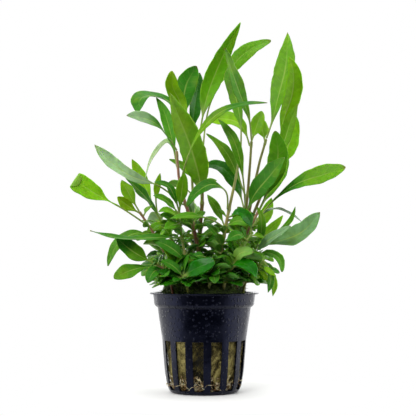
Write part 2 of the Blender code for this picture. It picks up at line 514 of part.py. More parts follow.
def loft(rings, tip=None):
    """A closed mesh of equal rings joined in order, its end capped or drawn to a point."""
    mesh = bmesh.new()
    loops = [[mesh.verts.new(p * MM) for p in ring] for ring in rings]
    for a, b in zip(loops, loops[1:]):
        for i in range(len(a)):
            j = (i + 1) % len(a)
            mesh.faces.new((a[i], a[j], b[j], b[i]))
    mesh.faces.new(loops[0][::-1])
    if tip is None:
        mesh.faces.new(loops[-1])
    else:
        point = mesh.verts.new(tip * MM)
        for i in range(len(loops[-1])):
            mesh.faces.new((loops[-1][i], loops[-1][(i + 1) % len(loops[-1])], point))
    bmesh.ops.recalc_face_normals(mesh, faces=mesh.faces)
    return mesh


def turned(outline, sides):
    """An outline of (radius, height) points, from axis to axis, spun into a closed solid."""
    mesh = bmesh.new()
    points = [mesh.verts.new((radius * MM, 0, height * MM)) for radius, height in outline]
    edges = [mesh.edges.new(pair) for pair in zip(points, points[1:])]
    bmesh.ops.spin(mesh, geom=points + edges, cent=(0, 0, 0), axis=(0, 0, 1), angle=2 * math.pi, steps=sides)
    bmesh.ops.remove_doubles(mesh, verts=mesh.verts, dist=1e-6)
    bmesh.ops.recalc_face_normals(mesh, faces=mesh.faces)
    return mesh


def radial_block(bearing, reach, heights, widths):
    """A block that points out along a bearing: its two reaches, and its width at each of its two heights."""
    out = np.array((math.cos(bearing), math.sin(bearing), 0))
    along = np.array((-math.sin(bearing), math.cos(bearing), 0))
    near, far = reach
    rings = []
    for height, width in zip(heights, widths):
        lift = np.array((0, 0, height))
        corners = ((near, -1), (far, -1), (far, 1), (near, 1))
        rings.append([out * r + along * s * width / 2 + lift for r, s in corners])
    return loft(rings)


def material(name, colour, roughness):
    made = bpy.data.materials.new(name)
    made.use_nodes = True
    shader = made.node_tree.nodes["Principled BSDF"]
    shader.inputs["Base Color"].default_value = (*colour, 1)
    shader.inputs["Roughness"].default_value = roughness
    return made


def add(name, mesh, finish):
    data = bpy.data.meshes.new(name)
    mesh.to_mesh(data)
    mesh.free()
    data.shade_smooth()
    data.set_sharp_from_angle(angle=math.radians(50))
    made = bpy.data.objects.new(name, data)
    made.data.materials.append(finish)
    bpy.context.scene.collection.objects.link(made)
    return made


def helpers(name, meshes):
    """A collection of closed shapes that a Boolean takes, kept out of the render."""
    group = bpy.data.collections.new(name)
    bpy.context.scene.collection.children.link(group)
    group.hide_render = True
    for i, mesh in enumerate(meshes):
        data = bpy.data.meshes.new(f"{name}_{i}")
        mesh.to_mesh(data)
        mesh.free()
        helper = bpy.data.objects.new(f"{name}_{i}", data)
        helper.hide_render = True
        helper.display_type = "WIRE"
        group.objects.link(helper)
    return group


def combine(obj, group, operation):
    modifier = obj.modifiers.new(operation.lower(), "BOOLEAN")
    modifier.operation = operation
    modifier.operand_type = "COLLECTION"
    modifier.collection = group
    modifier.solver = "EXACT"
    modifier.use_self = operation == "UNION"


def pot_cutters():
    """The windows round the wall, and the slots in the floor."""
    pitch = 2 * math.pi / WINDOWS
    for i in range(WINDOWS):
        bearing = math.radians(PILLAR_BEARING - 90) + (i + 0.5) * pitch
        yield radial_block(bearing, (SLOT_REACH[1], LIP_RADIUS), (WINDOW_FOOT, WINDOW_HEAD), WINDOW_WIDTHS)
    for i in range(FLOOR_SLOTS):
        bearing = 2 * math.pi * i / FLOOR_SLOTS
        yield radial_block(bearing, SLOT_REACH, (-FLOOR, 2 * FLOOR), (SLOT_WIDTH, SLOT_WIDTH))


def build_pot(finish):
    inside = [(radius - WALL, height) for radius, height in POT_OUTLINE[2:8]]
    inside = [(0.0, FLOOR), (POT_OUTLINE[0][0], FLOOR)] + inside + [(COLLAR_RADIUS - WALL, POT_HEIGHT)]
    outline = [(0.0, 0.0)] + list(POT_OUTLINE) + inside[::-1]
    pot = add("pot", turned(outline, POT_SIDES), finish)
    combine(pot, helpers("pot_openings", pot_cutters()), "DIFFERENCE")


def build_bed(stalks, wool, moss):
    """The wool, and the moss with its swells, each with a socket round every stalk."""
    sockets = helpers("sockets", [stalk.tube(SOCKET_CLEARANCE, GAP, 2) for stalk in stalks.values()])
    combine(add("wool_plug", turned(WOOL_OUTLINE, BED_SIDES), wool), sockets, "DIFFERENCE")
    lump = turned(MOSS_OUTLINE, BED_SIDES)
    for point in lump.verts:
        if point.co.z > (MOSS_FOOT + GAP) * MM:
            reach = math.hypot(point.co.x, point.co.y) / LIP_RADIUS
            point.co.z += MOSS_SWELL * math.sin(MOSS_LOBES * math.atan2(point.co.y, point.co.x)) * reach
    combine(add("moss_mat", lump, moss), sockets, "DIFFERENCE")


def build_leaves(stalks, room, finish):
    for name, leaf in LEAVES.items():
        line = leaf.free_line(stalks[leaf.stalk])
        add(name, leaf.mesh(line, LARGE_SECTIONS), finish)
        room.take(leaf.samples(line, 24), name)


def build_stalks(stalks, room, finish):
    """The stalks, with the small leaves set by eye and then the pairs, whose leaves need room to grow."""
    grown = {name: [] for name in stalks}
    for leaf in SMALL_LEAVES:
        line = leaf.grown_line(stalks[leaf.stalk])
        grown[leaf.stalk].append(leaf.mesh(line, SMALL_SECTIONS, flat=True))
        room.take(leaf.samples(line, 12), leaf.stalk + " leaf")
    for pairs in PAIRED:
        for ways in pairs.candidates(stalks[pairs.stalk]):
            for line, leaf in ways:
                samples = leaf.samples(line, 12)
                if room.fits(samples, pairs.stalk):
                    grown[pairs.stalk].append(leaf.mesh(line, PAIR_SECTIONS, flat=True))
                    room.take(samples, pairs.stalk + " leaf")
                    break
    for name, stalk in stalks.items():
        combine(add(name, stalk.tube(), finish), helpers(name + "_leaves", grown[name]), "UNION")


def main():
    for old in list(bpy.data.objects):
        bpy.data.objects.remove(old)
    room = Room()
    for name, stalk in STALKS.items():
        room.take(smooth_path(stalk.path, STALK_STEPS + 1), name)
    build_pot(material("black_polypropylene", (0.012, 0.013, 0.02), 0.25))
    wool = material("mineral_wool", (0.2, 0.17, 0.07), 0.95)
    moss = material("moss", (0.02, 0.035, 0.008), 0.95)
    build_bed(STALKS, wool, moss)
    build_leaves(STALKS, room, material("blade", (0.14, 0.34, 0.03), 0.45))
    build_stalks(STALKS, room, material("stalk", (0.2, 0.2, 0.06), 0.5))


main()
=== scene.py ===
"""The finished look of a potted hygrophila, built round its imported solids.

A young stem plant with narrow leaves, rooted in a wet plug of mineral wool under a mat of moss, in a slotted
nursery pot. Lengths are millimetres unless a name says otherwise, and +Z is up. The stalks and leaves stand
where their solids stand, because both follow the same tables.
"""

import logging
import math
from dataclasses import dataclass, field
from enum import Enum
from typing import Iterator, Sequence

import bpy
import numpy as np
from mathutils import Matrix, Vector

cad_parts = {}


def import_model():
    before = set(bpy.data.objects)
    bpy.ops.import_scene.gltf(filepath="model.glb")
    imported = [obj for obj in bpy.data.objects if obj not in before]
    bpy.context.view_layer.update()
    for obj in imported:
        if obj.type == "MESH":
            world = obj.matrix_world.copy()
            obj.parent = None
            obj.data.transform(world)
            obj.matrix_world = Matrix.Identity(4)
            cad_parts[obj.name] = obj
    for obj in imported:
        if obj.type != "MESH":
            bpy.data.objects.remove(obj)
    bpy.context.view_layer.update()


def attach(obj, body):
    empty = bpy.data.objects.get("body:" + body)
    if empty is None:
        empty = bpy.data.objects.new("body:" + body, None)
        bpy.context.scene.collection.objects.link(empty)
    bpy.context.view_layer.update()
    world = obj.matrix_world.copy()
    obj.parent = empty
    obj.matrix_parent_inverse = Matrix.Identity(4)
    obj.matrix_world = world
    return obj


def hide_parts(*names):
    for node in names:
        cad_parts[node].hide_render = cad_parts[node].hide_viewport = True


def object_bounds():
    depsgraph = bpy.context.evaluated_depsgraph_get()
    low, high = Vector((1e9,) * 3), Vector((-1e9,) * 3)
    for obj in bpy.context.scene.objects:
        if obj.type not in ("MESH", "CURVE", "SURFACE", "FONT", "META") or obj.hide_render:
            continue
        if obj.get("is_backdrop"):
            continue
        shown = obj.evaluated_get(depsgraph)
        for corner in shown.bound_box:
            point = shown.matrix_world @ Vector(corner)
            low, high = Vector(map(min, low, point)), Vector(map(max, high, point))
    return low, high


log = logging.getLogger("potted_hygrophila")

Array = np.ndarray
Triple = tuple[float, float, float]

MM = 0.001
GAP = 0.3
EYE = np.array((0.0, -620.0, 69.0))

# How the stalks and leaves of the solids are laid out, kept the same here so that each piece finds its place.
STRAIGHT_TO = 56.0
TIP_SHORTER = 0.15
STALK_STEPS = 60
STALK_SECTION_SPACING = 12.0
PETIOLE_RADIUS = 0.45
BLADE_THICKNESS = 0.55
FOLD = 0.22
MIDRIB_STEPS = 40
PAIR_PETIOLE = 0.15
PAIR_ROLL = 0.9
TURNS_TRIED = (0, 25, -25, 50, -50, 75, -75)
ROOM = 1.1
MOSS_TOP = 54.6
LIP_RADIUS = 27.5
TOP_JOINT = 0.97
LARGE_SAMPLES = 24
SMALL_SAMPLES = 12
TINY_SAMPLES = 6

# What the drawn stalks and blades add to their solids: how far a joint swells, as a share of the radius, how
# far that reaches and how green it is, how much of a crease's length is taken back, how points crowd at an
# edge, how far it ruffles, as a share of the width, and a blade's half thickness and how evenly it keeps
# that.
JOINT_SWELL = 0.28
JOINT_REACH = 1.1
JOINT_GREEN = 0.35
CREASE_TAKEN = 2.75
EDGE_CROWDING = 1.35
RUFFLE = 0.025
DRAWN_HALF = 0.2
DRAWN_EVENNESS = 0.15

# What two kinds of node are set to wherever they stand.
SMOOTH = {"interpolation_type": "SMOOTHSTEP"}
COLOURS = {"outlet": 2, "data_type": "RGBA"}


def linear(code: str) -> Triple:
    """Turn an sRGB hex colour into linear light.

    Args:
        code: The colour as #rrggbb.

    Returns:
        Red, green and blue in linear light.
    """
    parts = [int(code[i : i + 2], 16) / 255 for i in (1, 3, 5)]
    red, green, blue = (c / 12.92 if c <= 0.04045 else ((c + 0.055) / 1.055) ** 2.4 for c in parts)
    return red, green, blue


def unit(vectors: Sequence[float] | Array) -> Array:
    """Scale vectors to length one, along the last axis."""
    vectors = np.asarray(vectors, float)
    return vectors / np.linalg.norm(vectors, axis=-1, keepdims=True)


def across(direction: Array, toward: Sequence[float] | Array) -> Array:
    """Square toward off against direction: toward less its part along direction, scaled to length one."""
    toward = np.asarray(toward, float)
    return unit(toward - (toward * direction).sum(axis=-1, keepdims=True) * direction)


def eased(values: Array | float, low: float, high: float) -> Array:
    """Rise from 0 at low to 1 at high with level ends: t squared times (3 - 2t)."""
    t = np.clip((np.asarray(values, float) - low) / (high - low), 0, 1)
    return t * t * (3 - 2 * t)


def sighted(point: Triple) -> Array:
    """Find a sighted point's place: pushed along its line of sight from the upright plane to its depth.

    Args:
        point: Where it is seen against the upright plane through the axis, as x, depth and z.

    Returns:
        Its place.
    """
    x, depth, z = point
    seen = np.array((x, 0.0, z))
    return EYE + (seen - EYE) * (depth - EYE[1]) / -EYE[1]


def smooth_path(points: Sequence[Array], count: int) -> Array:
    """Space points evenly on the smooth curve through the given ones (Hermite pieces, averaged slopes).

    Args:
        points: The places that the curve passes.
        count: How many points to return.

    Returns:
        The points, in an array of shape (count, 3).
    """
    places = np.array(points, float)
    if len(places) == 2:
        return places[0] + np.linspace(0, 1, count)[:, None] * (places[1] - places[0])
    chords = np.linalg.norm(np.diff(places, axis=0), axis=1)[:, None]
    slopes = np.diff(places, axis=0) / chords
    inner = (slopes[:-1] * chords[1:] + slopes[1:] * chords[:-1]) / (chords[1:] + chords[:-1])
    tangents = np.vstack((1.5 * slopes[0] - 0.5 * inner[0], inner, 1.5 * slopes[-1] - 0.5 * inner[-1]))
    t = np.linspace(0, 1, 16, endpoint=False)[:, None]
    pieces = []
    for i, chord in enumerate(chords):
        pieces.append((2 * t**3 - 3 * t**2 + 1) * places[i] + (t**3 - 2 * t**2 + t) * chord * tangents[i]
                      + (3 * t**2 - 2 * t**3) * places[i + 1] + (t**3 - t**2) * chord * tangents[i + 1])
    fine = np.vstack((*pieces, places[-1:]))
    run = distances(fine)
    return along_path(fine, run, np.linspace(0, run[-1], count))


def distances(path: Array) -> Array:
    """Measure how far along a path each of its points lies."""
    return np.append(0, np.cumsum(np.linalg.norm(np.diff(path, axis=0), axis=1)))


def along_path(path: Array, run: Array, places: Array) -> Array:
    """Read a path at some distances along it, straight between its points."""
    return np.stack([np.interp(places, run, path[:, k]) for k in range(3)], axis=-1)


def tangents_of(path: Array) -> Array:
    """Find the path's direction at each point."""
    return unit(np.gradient(path, axis=0))


def round_axis(theta: Array, radius: Array | float, height: Array) -> Array:
    """Place bearings, radii and heights round the axis: (radius cos theta, radius sin theta, height)."""
    return np.stack((radius * np.cos(theta), radius * np.sin(theta), height), axis=-1)


@dataclass
class Surface:
    """A mesh in the making: points, faces, and what a finish reads at each point.

    uv holds two numbers a point. values holds a number or a colour a point, by name.
    """

    points: Array
    quads: Array
    triangles: Array
    uv: Array | None = None
    values: dict[str, Array] = field(default_factory=dict)

    @classmethod
    def joined(cls, parts: Sequence["Surface"]) -> "Surface":
        """Put several surfaces into one.

        Args:
            parts: Surfaces that hold the same values.

        Returns:
            One surface with all their points and faces.
        """
        starts = np.append(0, np.cumsum([len(part.points) for part in parts]))
        return cls(
            np.vstack([part.points for part in parts]),
            np.vstack([part.quads + start for part, start in zip(parts, starts)]),
            np.vstack([part.triangles + start for part, start in zip(parts, starts)]),
            None if parts[0].uv is None else np.vstack([part.uv for part in parts]),
            {name: np.concatenate([part.values[name] for part in parts]) for name in parts[0].values},
        )

    def piece(self, name: str, finish: bpy.types.Material, slot: str, *nodes: str) -> bpy.types.Object:
        """Put the surface into the scene as a piece of the plant.

        Args:
            name: The piece's name.
            finish: Its material.
            slot: The record's material slot; not used.
            *nodes: The solids that it stands for.

        Returns:
            The new object.
        """
        mesh = bpy.data.meshes.new(name)
        mesh.vertices.add(len(self.points))
        mesh.vertices.foreach_set("co", (self.points * MM).ravel())
        corners = np.concatenate((self.quads.ravel(), self.triangles.ravel()))
        sizes = np.repeat((4, 3), (len(self.quads), len(self.triangles)))
        mesh.loops.add(len(corners))
        mesh.loops.foreach_set("vertex_index", corners)
        mesh.polygons.add(len(sizes))
        mesh.polygons.foreach_set("loop_start", np.append(0, np.cumsum(sizes)[:-1]))
        mesh.polygons.foreach_set("use_smooth", np.ones(len(sizes), bool))
        if self.uv is not None:
            mesh.uv_layers.new(name="blade").uv.foreach_set("vector", self.uv[corners].ravel())
        for label, numbers in self.values.items():
            if numbers.ndim == 1:
                mesh.attributes.new(label, "FLOAT", "POINT").data.foreach_set("value", numbers)
            else:
                rgba = np.column_stack((numbers, np.ones(len(numbers))))
                mesh.attributes.new(label, "FLOAT_COLOR", "POINT").data.foreach_set("color", rgba.ravel())
        mesh.update(calc_edges=True)
        mesh.validate()
        mesh.materials.append(finish)
        made = bpy.data.objects.new(name, mesh)
        bpy.context.scene.collection.objects.link(made)
        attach(made, "root")
        if nodes:
            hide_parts(*nodes)
        log.info("%s: %d points, %d faces", name, len(self.points), len(sizes))
        return made


def looped(rings: Array, tips: Array | None = None) -> Surface:
    """Close skins over rings, each ring counterclockwise about its skin's direction.

    Ring i joins ring i + 1 and point j joins point j + 1 round it. Each end is a fan onto one more point,
    which is its ring's middle, or the tip at the far end.

    Args:
        rings: Points of shape (skins, rings, points round, 3).
        tips: The far ends' points, of shape (skins, 3), if they are drawn out.

    Returns:
        The skins in one surface.
    """
    skins, count, round_it = rings.shape[:3]
    feet = rings[:, 0].mean(axis=1)
    heads = rings[:, -1].mean(axis=1) if tips is None else tips
    points = np.concatenate((rings.reshape(skins, -1, 3), feet[:, None], heads[:, None]), axis=1)
    i, j = np.meshgrid(np.arange(count - 1), np.arange(round_it), indexing="ij")
    k = (j + 1) % round_it
    low, high = i * round_it, (i + 1) * round_it
    quads = np.stack((low + j, low + k, high + k, high + j), axis=-1).reshape(-1, 4)
    j, k = j[0], k[0]
    last, pole = (count - 1) * round_it, count * round_it
    foot_fan = np.stack((k, j, np.full_like(j, pole)), axis=1)
    head_fan = np.stack((last + j, last + k, np.full_like(j, pole + 1)), axis=1)
    fans = np.vstack((foot_fan, head_fan))
    starts = (pole + 2) * np.arange(skins)[:, None, None]
    return Surface(points.reshape(-1, 3), (quads + starts).reshape(-1, 4), (fans + starts).reshape(-1, 3))


def at_points(numbers: Array) -> Array:
    """Spread what holds on rings to the points that looped makes of them.

    Args:
        numbers: A number or a colour for each point, the first axes being skins, rings and points round.

    Returns:
        One for each point, the end points taking their rings' means.
    """
    flat = numbers.reshape(len(numbers), -1, *numbers.shape[3:])
    ends = numbers[:, [0, -1]].mean(axis=2)
    return np.concatenate((flat, ends), axis=1).reshape(-1, *numbers.shape[3:])


def tubes(paths: Array, radii: Array, sides: int) -> Surface:
    """Carry circles along many paths at once.

    A point is path + radius (cos a side + sin a other), where side is (1, 0.2, 0.1) squared off against the
    path.

    Args:
        paths: Points of shape (tubes, points along, 3).
        radii: Radii of shape (tubes, points along).
        sides: Points round each circle.

    Returns:
        The tubes in one surface.
    """
    along = unit(np.gradient(paths, axis=1))
    side = across(along, (1, 0.2, 0.1))
    other = np.cross(along, side)
    a = np.linspace(0, 2 * math.pi, sides, endpoint=False)[:, None]
    offsets = np.cos(a) * side[:, :, None] + np.sin(a) * other[:, :, None]
    return looped(paths[:, :, None] + radii[:, :, None, None] * offsets)


def swell(theta: Array, height: Array, seed: int, waves: int = 24, finest: int = 26) -> Array:
    """Add up cosines of random pitch and phase round an axis and along it, for lumps without a seam.

    The sum of cos(k theta + m height + phase) / (1 + k / 6), divided so that it stays mostly within 1.

    Args:
        theta: Bearings in radians.
        height: Heights in millimetres.
        seed: Which draw of waves.
        waves: How many waves.
        finest: The most waves round the axis.

    Returns:
        The sum, in the shape of the inputs together.
    """
    draw = np.random.default_rng(seed)
    total = np.zeros(np.broadcast(theta, height).shape)
    weight = 0.0
    for k in draw.integers(1, finest, waves):
        m, phase = draw.normal(0, 0.05 * k), draw.uniform(0, 2 * math.pi)
        total += np.cos(k * theta + m * height + phase) / (1 + k / 6)
        weight += 0.5 / (1 + k / 6) ** 2
    return total / (1.6 * math.sqrt(weight))


class Shade(Enum):
    """What a leaf's upper side looks like in even light."""

    LIME = "#84bc0a"
    FRESH = "#6aa60e"
    MEADOW = "#569614"
    FOREST = "#38800f"
    DEEP = "#246c08"
    PALE = "#a6cc92"
    SAGE = "#7ab04a"
    SILVER = "#84a874"
    GLOSSY = "#167400"


class Bark(Enum):
    """The colours of a stalk at its root and at its top."""

    BROWN = ("#5c3a1c", "#8b8a4a")
    PINK = ("#8c5a44", "#9c6c58")
    OLIVE = ("#ab9c60", "#8f9a52")
    GREEN = ("#a5a25e", "#86a04a")


@dataclass
class Stalk:
    """A stalk: sighted points from the root up, and the radius, which falls evenly from root to top."""

    points: tuple[Triple, ...]
    root_radius: float
    top_radius: float
    bark: Bark = Bark.GREEN

    def __post_init__(self) -> None:
        """Lay out the fine path, and the solid's coarse one, on which leaves find their place."""
        self.fine = smooth_path([sighted(p) for p in self.points], STALK_STEPS + 1)
        leaves_bed = int(np.argmax(self.fine[:, 2] > STRAIGHT_TO))
        length = np.linalg.norm(np.diff(self.fine[leaves_bed:], axis=0), axis=1).sum()
        bends = max(3, round(length / STALK_SECTION_SPACING))
        self.steps = np.append(0, np.round(np.linspace(leaves_bed, STALK_STEPS, bends + 1)))
        self.path = self.fine[self.steps.astype(int)]
        self.radii = self.root_radius + (self.top_radius - self.root_radius) * self.steps / STALK_STEPS

    def place(self, share: float) -> Array:
        """Find the place at a share of the length, on the solid's path."""
        return along_path(self.path, self.steps, np.array(share * STALK_STEPS))

    def radius(self, share: float) -> float:
        """Find the radius at a share of the length."""
        return float(np.interp(share * STALK_STEPS, self.steps, self.radii))

    def direction(self, share: float) -> Array:
        """Find the direction at a share of the length."""
        return unit(self.place(min(1.0, share + 0.05)) - self.place(max(0.0, share - 0.05)))

    def surface(self, joints: Sequence[float], sides: int = 14) -> Surface:
        """Make the stalk as a round tube through the solid's path, a little swollen at each leaf's joint.

        radius = even taper (1 + swell times the sum of exp(-(way from the joint / reach) squared)).

        Args:
            joints: The shares of the length at which leaves grow.
            sides: Points round the tube.

        Returns:
            The surface, with its colours.
        """
        share = np.linspace(0, 1, 4 * STALK_STEPS + 1)
        path = along_path(self.path, self.steps, share * STALK_STEPS)
        rounding = np.hanning(13) / np.hanning(13).sum()
        padded = np.vstack((np.repeat(path[:1], 6, axis=0), path, np.repeat(path[-1:], 6, axis=0)))
        path = np.stack([np.convolve(padded[:, k], rounding, "valid") for k in range(3)], axis=-1)
        length = np.linalg.norm(np.diff(path, axis=0), axis=1).sum()
        bulge = sum(np.exp(-(((share - joint) * length / JOINT_REACH) ** 2)) for joint in joints)
        bulge = np.minimum(bulge, 1)
        radius = (self.root_radius + (self.top_radius - self.root_radius) * share) * (1 + JOINT_SWELL * bulge)
        radius[-3:] *= (0.9, 0.7, 0.35)
        skin = tubes(path[None], radius[None], sides)
        low, high = (np.array(linear(code)) for code in self.bark.value)
        blend = eased(share, 0.4, 1.0)[:, None]
        colour = low * (1 - blend) + high * blend
        green = JOINT_GREEN * bulge[:, None]
        colour = colour * (1 - green) + green * np.array(linear("#8fa850"))
        spread = np.broadcast_to(colour[None, :, None], (1, len(share), sides, 3))
        skin.values["tint"] = at_points(spread)
        return skin


@dataclass
class Leaf:
    """A leaf: its stalk, how far up it sits, sighted points from there to the tip, and its greatest width.

    face and tip_face are the ways its upper side looks at the foot and at the tip. petiole is the share of
    the length that is bare stalk, belly where the blade is widest, blunt how pointed the tip is (1 is
    pointed). The rest holds for the drawn blade alone, not for its solid: seen_belly, where it is widest,
    breadth, its width against the solid's, oval, whether both ends are round, crease, how much of a tip, in
    millimetres, is folded over on the upper side, shown, whether no tiny leaf may stand in front of it, and
    tip_shade, its colour beyond the middle if that is another.
    """

    stalk: str
    at: float
    points: tuple[Triple, ...]
    width: float
    face: Triple
    tip_face: Triple | None = None
    petiole: float = 0.12
    belly: float = 0.55
    blunt: float = 0.8
    shade: Shade = Shade.MEADOW
    seen_belly: float | None = None
    breadth: float = 1.0
    oval: bool = False
    crease: float = 0.0
    shown: bool = False
    tip_shade: Shade | None = None

    def onward(self) -> list[Array]:
        """Find the places of the points beyond the stalk."""
        return [sighted(p) for p in self.points]

    def free_line(self, stalk: Stalk) -> list[Array]:
        """Lay the midrib of a leaf whose solid stands a gap off its stalk's skin or end."""
        centre, axis = stalk.place(self.at), stalk.direction(self.at)
        start = unit(self.onward()[0] - centre)
        clear = stalk.radius(self.at) + GAP
        if self.at < 1:
            clear += PETIOLE_RADIUS * abs(np.dot(start, axis))
            start = across(axis, start)
        return [centre + start * clear] + self.onward()

    def grown_line(self, stalk: Stalk) -> list[Array]:
        """Lay the midrib from inside the stalk."""
        return [stalk.place(self.at)] + self.onward()

    def blade_wave(self, share: Array, belly: float) -> tuple[Array, Array]:
        """Find the share of the blade, b, and its wave, sin(pi b^p), where p puts the widest place at belly.

        Args:
            share: Shares of the length.
            belly: Where the blade is widest.

        Returns:
            The share of the blade and the wave.
        """
        blade = np.maximum(0.0, (share - self.petiole) / (1 - self.petiole))
        power = math.log(0.5) / math.log(belly)
        return blade, np.maximum(np.sin(math.pi * blade**power), 0)

    def profile(self, share: Array) -> tuple[Array, Array]:
        """Work out the solid blade's shape along the midrib.

        The half width is half the width times the blade's wave to a power that falls from 1.15 to blunt.

        Args:
            share: Shares of the length.

        Returns:
            The half width and the half thickness.
        """
        blade, wave = self.blade_wave(share, self.belly)
        half = 0.5 * self.width * wave ** (1.15 + (self.blunt - 1.15) * blade)
        return half, PETIOLE_RADIUS * (1 - blade) + 0.5 * BLADE_THICKNESS * blade

    def drawn_outline(self, share: Array) -> tuple[Array, Array, Array]:
        """Work out the drawn blade's shape along the midrib.

        The half width is half the width times breadth times the blade's wave to a power, which falls from 1.5
        at a drawn-out foot to blunt, or is 0.5 all along on an oval. The cubes of that and of the petiole's
        radius add up.

        Args:
            share: Shares of the length.

        Returns:
            The share of the blade, the half width and the petiole's radius.
        """
        blade, wave = self.blade_wave(share, self.seen_belly or self.belly)
        foot, tip = (0.5, 0.5) if self.oval else (1.5, self.blunt)
        half = 0.5 * self.width * self.breadth * wave ** (foot + (tip - foot) * eased(blade, 0, 0.6))
        petiole = PETIOLE_RADIUS * (1 - 0.3 * share) * (1 - eased(share, 0.75, 1.0))
        return blade, np.cbrt(half**3 + petiole**3), petiole

    def frame_along(self, along: Array, share: Array) -> tuple[Array, Array]:
        """Find the ways the upper side and one edge look along the midrib.

        Args:
            along: The midrib's directions.
            share: Shares of the length.

        Returns:
            The upper side's normal and the way to the edge.
        """
        foot, tip = np.array(self.face, float), np.array(self.tip_face or self.face, float)
        normal = across(along, foot * (1 - share[:, None]) + tip * share[:, None])
        return normal, np.cross(along, normal)

    def samples(self, line: list[Array], count: int) -> Array:
        """Take points over the solid leaf but for its foot, as the solids' own test for room does.

        Args:
            line: The midrib's places.
            count: How many sections.

        Returns:
            The sections' corners, the points between edges and middle, and the tip.
        """
        path = smooth_path(line, MIDRIB_STEPS + 1)
        share = np.linspace(0, 1, count, endpoint=False)
        at = np.array([int(round(s * MIDRIB_STEPS)) for s in share])
        centre = path[at]
        half, thick = self.profile(share)
        half = np.maximum(half, PETIOLE_RADIUS * (1 - 0.3 * share))
        normal, side = self.frame_along(tangents_of(path)[at], share)
        rise = (FOLD * np.maximum(0.0, half - PETIOLE_RADIUS))[:, None] * normal
        edge, up = half[:, None] * side, thick[:, None] * normal
        corners = np.stack((centre + edge + rise, centre + up, centre - edge + rise), axis=1)[count // 4 :]
        between = (corners[:, (0, 2)] + corners[:, 1, None]) / 2
        return np.vstack((corners.reshape(-1, 3), between.reshape(-1, 3), path[-1:]))

    def surface(self, line: list[Array], stations: int, quarter: int, seed: int, root: Array | None = None,
                wavy: float = 0.05) -> Surface:
        """Make the leaf as a thin closed blade on a round petiole, with a rib beneath and a wavy margin.

        Across it, s runs from -1 to 1. A point is centre + s half (1 + ruffle) side + (fold |s|^1.4 + wave
        s^2) normal, and from there up or down by the lens sqrt(1 - s^2) times the thickness. The ruffle is
        two sines along the leaf, 6 and 10 mm long. Stations crowd at both ends: step = (1 - cos(pi t)) / 2.

        Args:
            line: The midrib's places.
            stations: Sections along it.
            quarter: Points from the midrib to an edge.
            seed: Which draw of waves and shades.
            root: Where in the stalk the petiole starts, with a straight bit from there to the line.
            wavy: How far the margin waves, as a share of the width.

        Returns:
            The surface, with its uv, colours, gloss and upper side marked.
        """
        draw = np.random.default_rng(seed)
        if self.crease:
            line = line + [line[-1] + (self.crease - CREASE_TAKEN) * unit(line[-1] - line[-2])]
        path = smooth_path(line, 4 * MIDRIB_STEPS + 1)
        path[-1] -= TIP_SHORTER * unit(path[-1] - path[-2])
        if root is not None:
            path = np.vstack((root, path))
        run = distances(path)
        length = run[-1]
        run /= length
        inside = 0.0 if root is None else run[1]
        step = (0.5 - 0.5 * np.cos(math.pi * np.linspace(0, 1, stations + 1)))[:-1]
        centre, along = along_path(path, run, step), unit(along_path(tangents_of(path), run, step))
        share = np.maximum(0, (step - inside) / (1 - inside))
        blade, half, petiole = self.drawn_outline(share)
        normal, side = self.frame_along(along, share)
        lean = (0.14 * np.sin(2 * math.pi * (draw.uniform(0.7, 1.4) * share + draw.uniform())))[:, None]
        normal, side = unit(normal + lean * side), unit(side - lean * normal)
        u = np.linspace(-1, 1, 2 * quarter + 1)
        s = np.sign(u) * np.abs(u) ** EDGE_CROWDING
        s = np.concatenate((s, s[-2:0:-1]))
        upper = np.repeat((1.0, -1.0), (2 * quarter + 1, 2 * quarter - 1))
        s, upper = s[None], upper[None]
        body = eased(blade, 0.0, 0.16)[:, None]
        wave = wavy * self.width * body * np.sin(
            2 * math.pi * draw.uniform(1.6, 3.2) * share[:, None] + draw.uniform(0, 6.3) + 1.7 * np.sign(s))
        fold = (FOLD * np.maximum(0.0, half - PETIOLE_RADIUS))[:, None]
        reach = share[:, None] * length
        ruffle = np.sin(reach + 2.3 * np.sign(s) + seed) + np.sin(0.61 * reach - 1.9 * np.sign(s) + 2 * seed)
        ruffle = RUFFLE * body * ruffle * (wavy > 0)
        if self.crease:
            level = 1 - eased(share, 0.55, 0.85)[:, None]
            fold, wave = fold * level, wave * level
        lift = fold * np.abs(s) ** 1.4 + wave * s**2
        even = (half / half.max())[:, None] ** DRAWN_EVENNESS
        thick = petiole[:, None] * (1 - body) + DRAWN_HALF * body * even
        rib = np.maximum(0.5 * petiole, 0.04)[:, None]
        ridge = body * rib * np.exp(-((s * half[:, None] / (1.6 * rib + 0.1)) ** 2))
        lens = np.sqrt(np.maximum(0, 1 - s**2))
        lift = lift + upper * thick * lens - ridge * np.where(upper > 0, 0.5, 1.3) * (lens > 0)
        points = (centre[:, None] + (s * half[:, None] * (1 + ruffle))[..., None] * side[:, None]
                  + lift[..., None] * normal[:, None])
        skin = looped(points[None], path[-1:])
        if self.crease:
            skin.points = self.folded_over(skin.points, path[-1], along[-1], normal[-1])
        shape = (1, len(share), s.shape[1])
        sides = np.where(np.abs(s) > 0.999, 0.0, upper)
        skin.uv = np.stack((at_points(np.broadcast_to(0.5 + 0.5 * s, shape)),
                            at_points(np.broadcast_to(share[:, None], shape))), axis=1)
        skin.uv[-1] = (0.5, 1.0)
        skin.values["upper"] = at_points(np.broadcast_to(0.5 + 0.5 * sides, shape))
        skin.values["gloss"] = np.full(len(skin.points), float(self.shade in (Shade.GLOSSY, Shade.DEEP)))
        colour = np.array(linear(self.shade.value)) * (1 + draw.normal(0, 0.05, 3)) * draw.uniform(0.92, 1.08)
        if self.tip_shade:
            turned = eased(share, 0.5, 0.72)[:, None]
            colour = colour * (1 - turned) + np.array(linear(self.tip_shade.value)) * turned
        stem = np.array(linear("#8fa352"))
        blend = eased(blade, 0.0, 0.22)[:, None]
        along_colour = stem * (1 - blend) + colour * blend
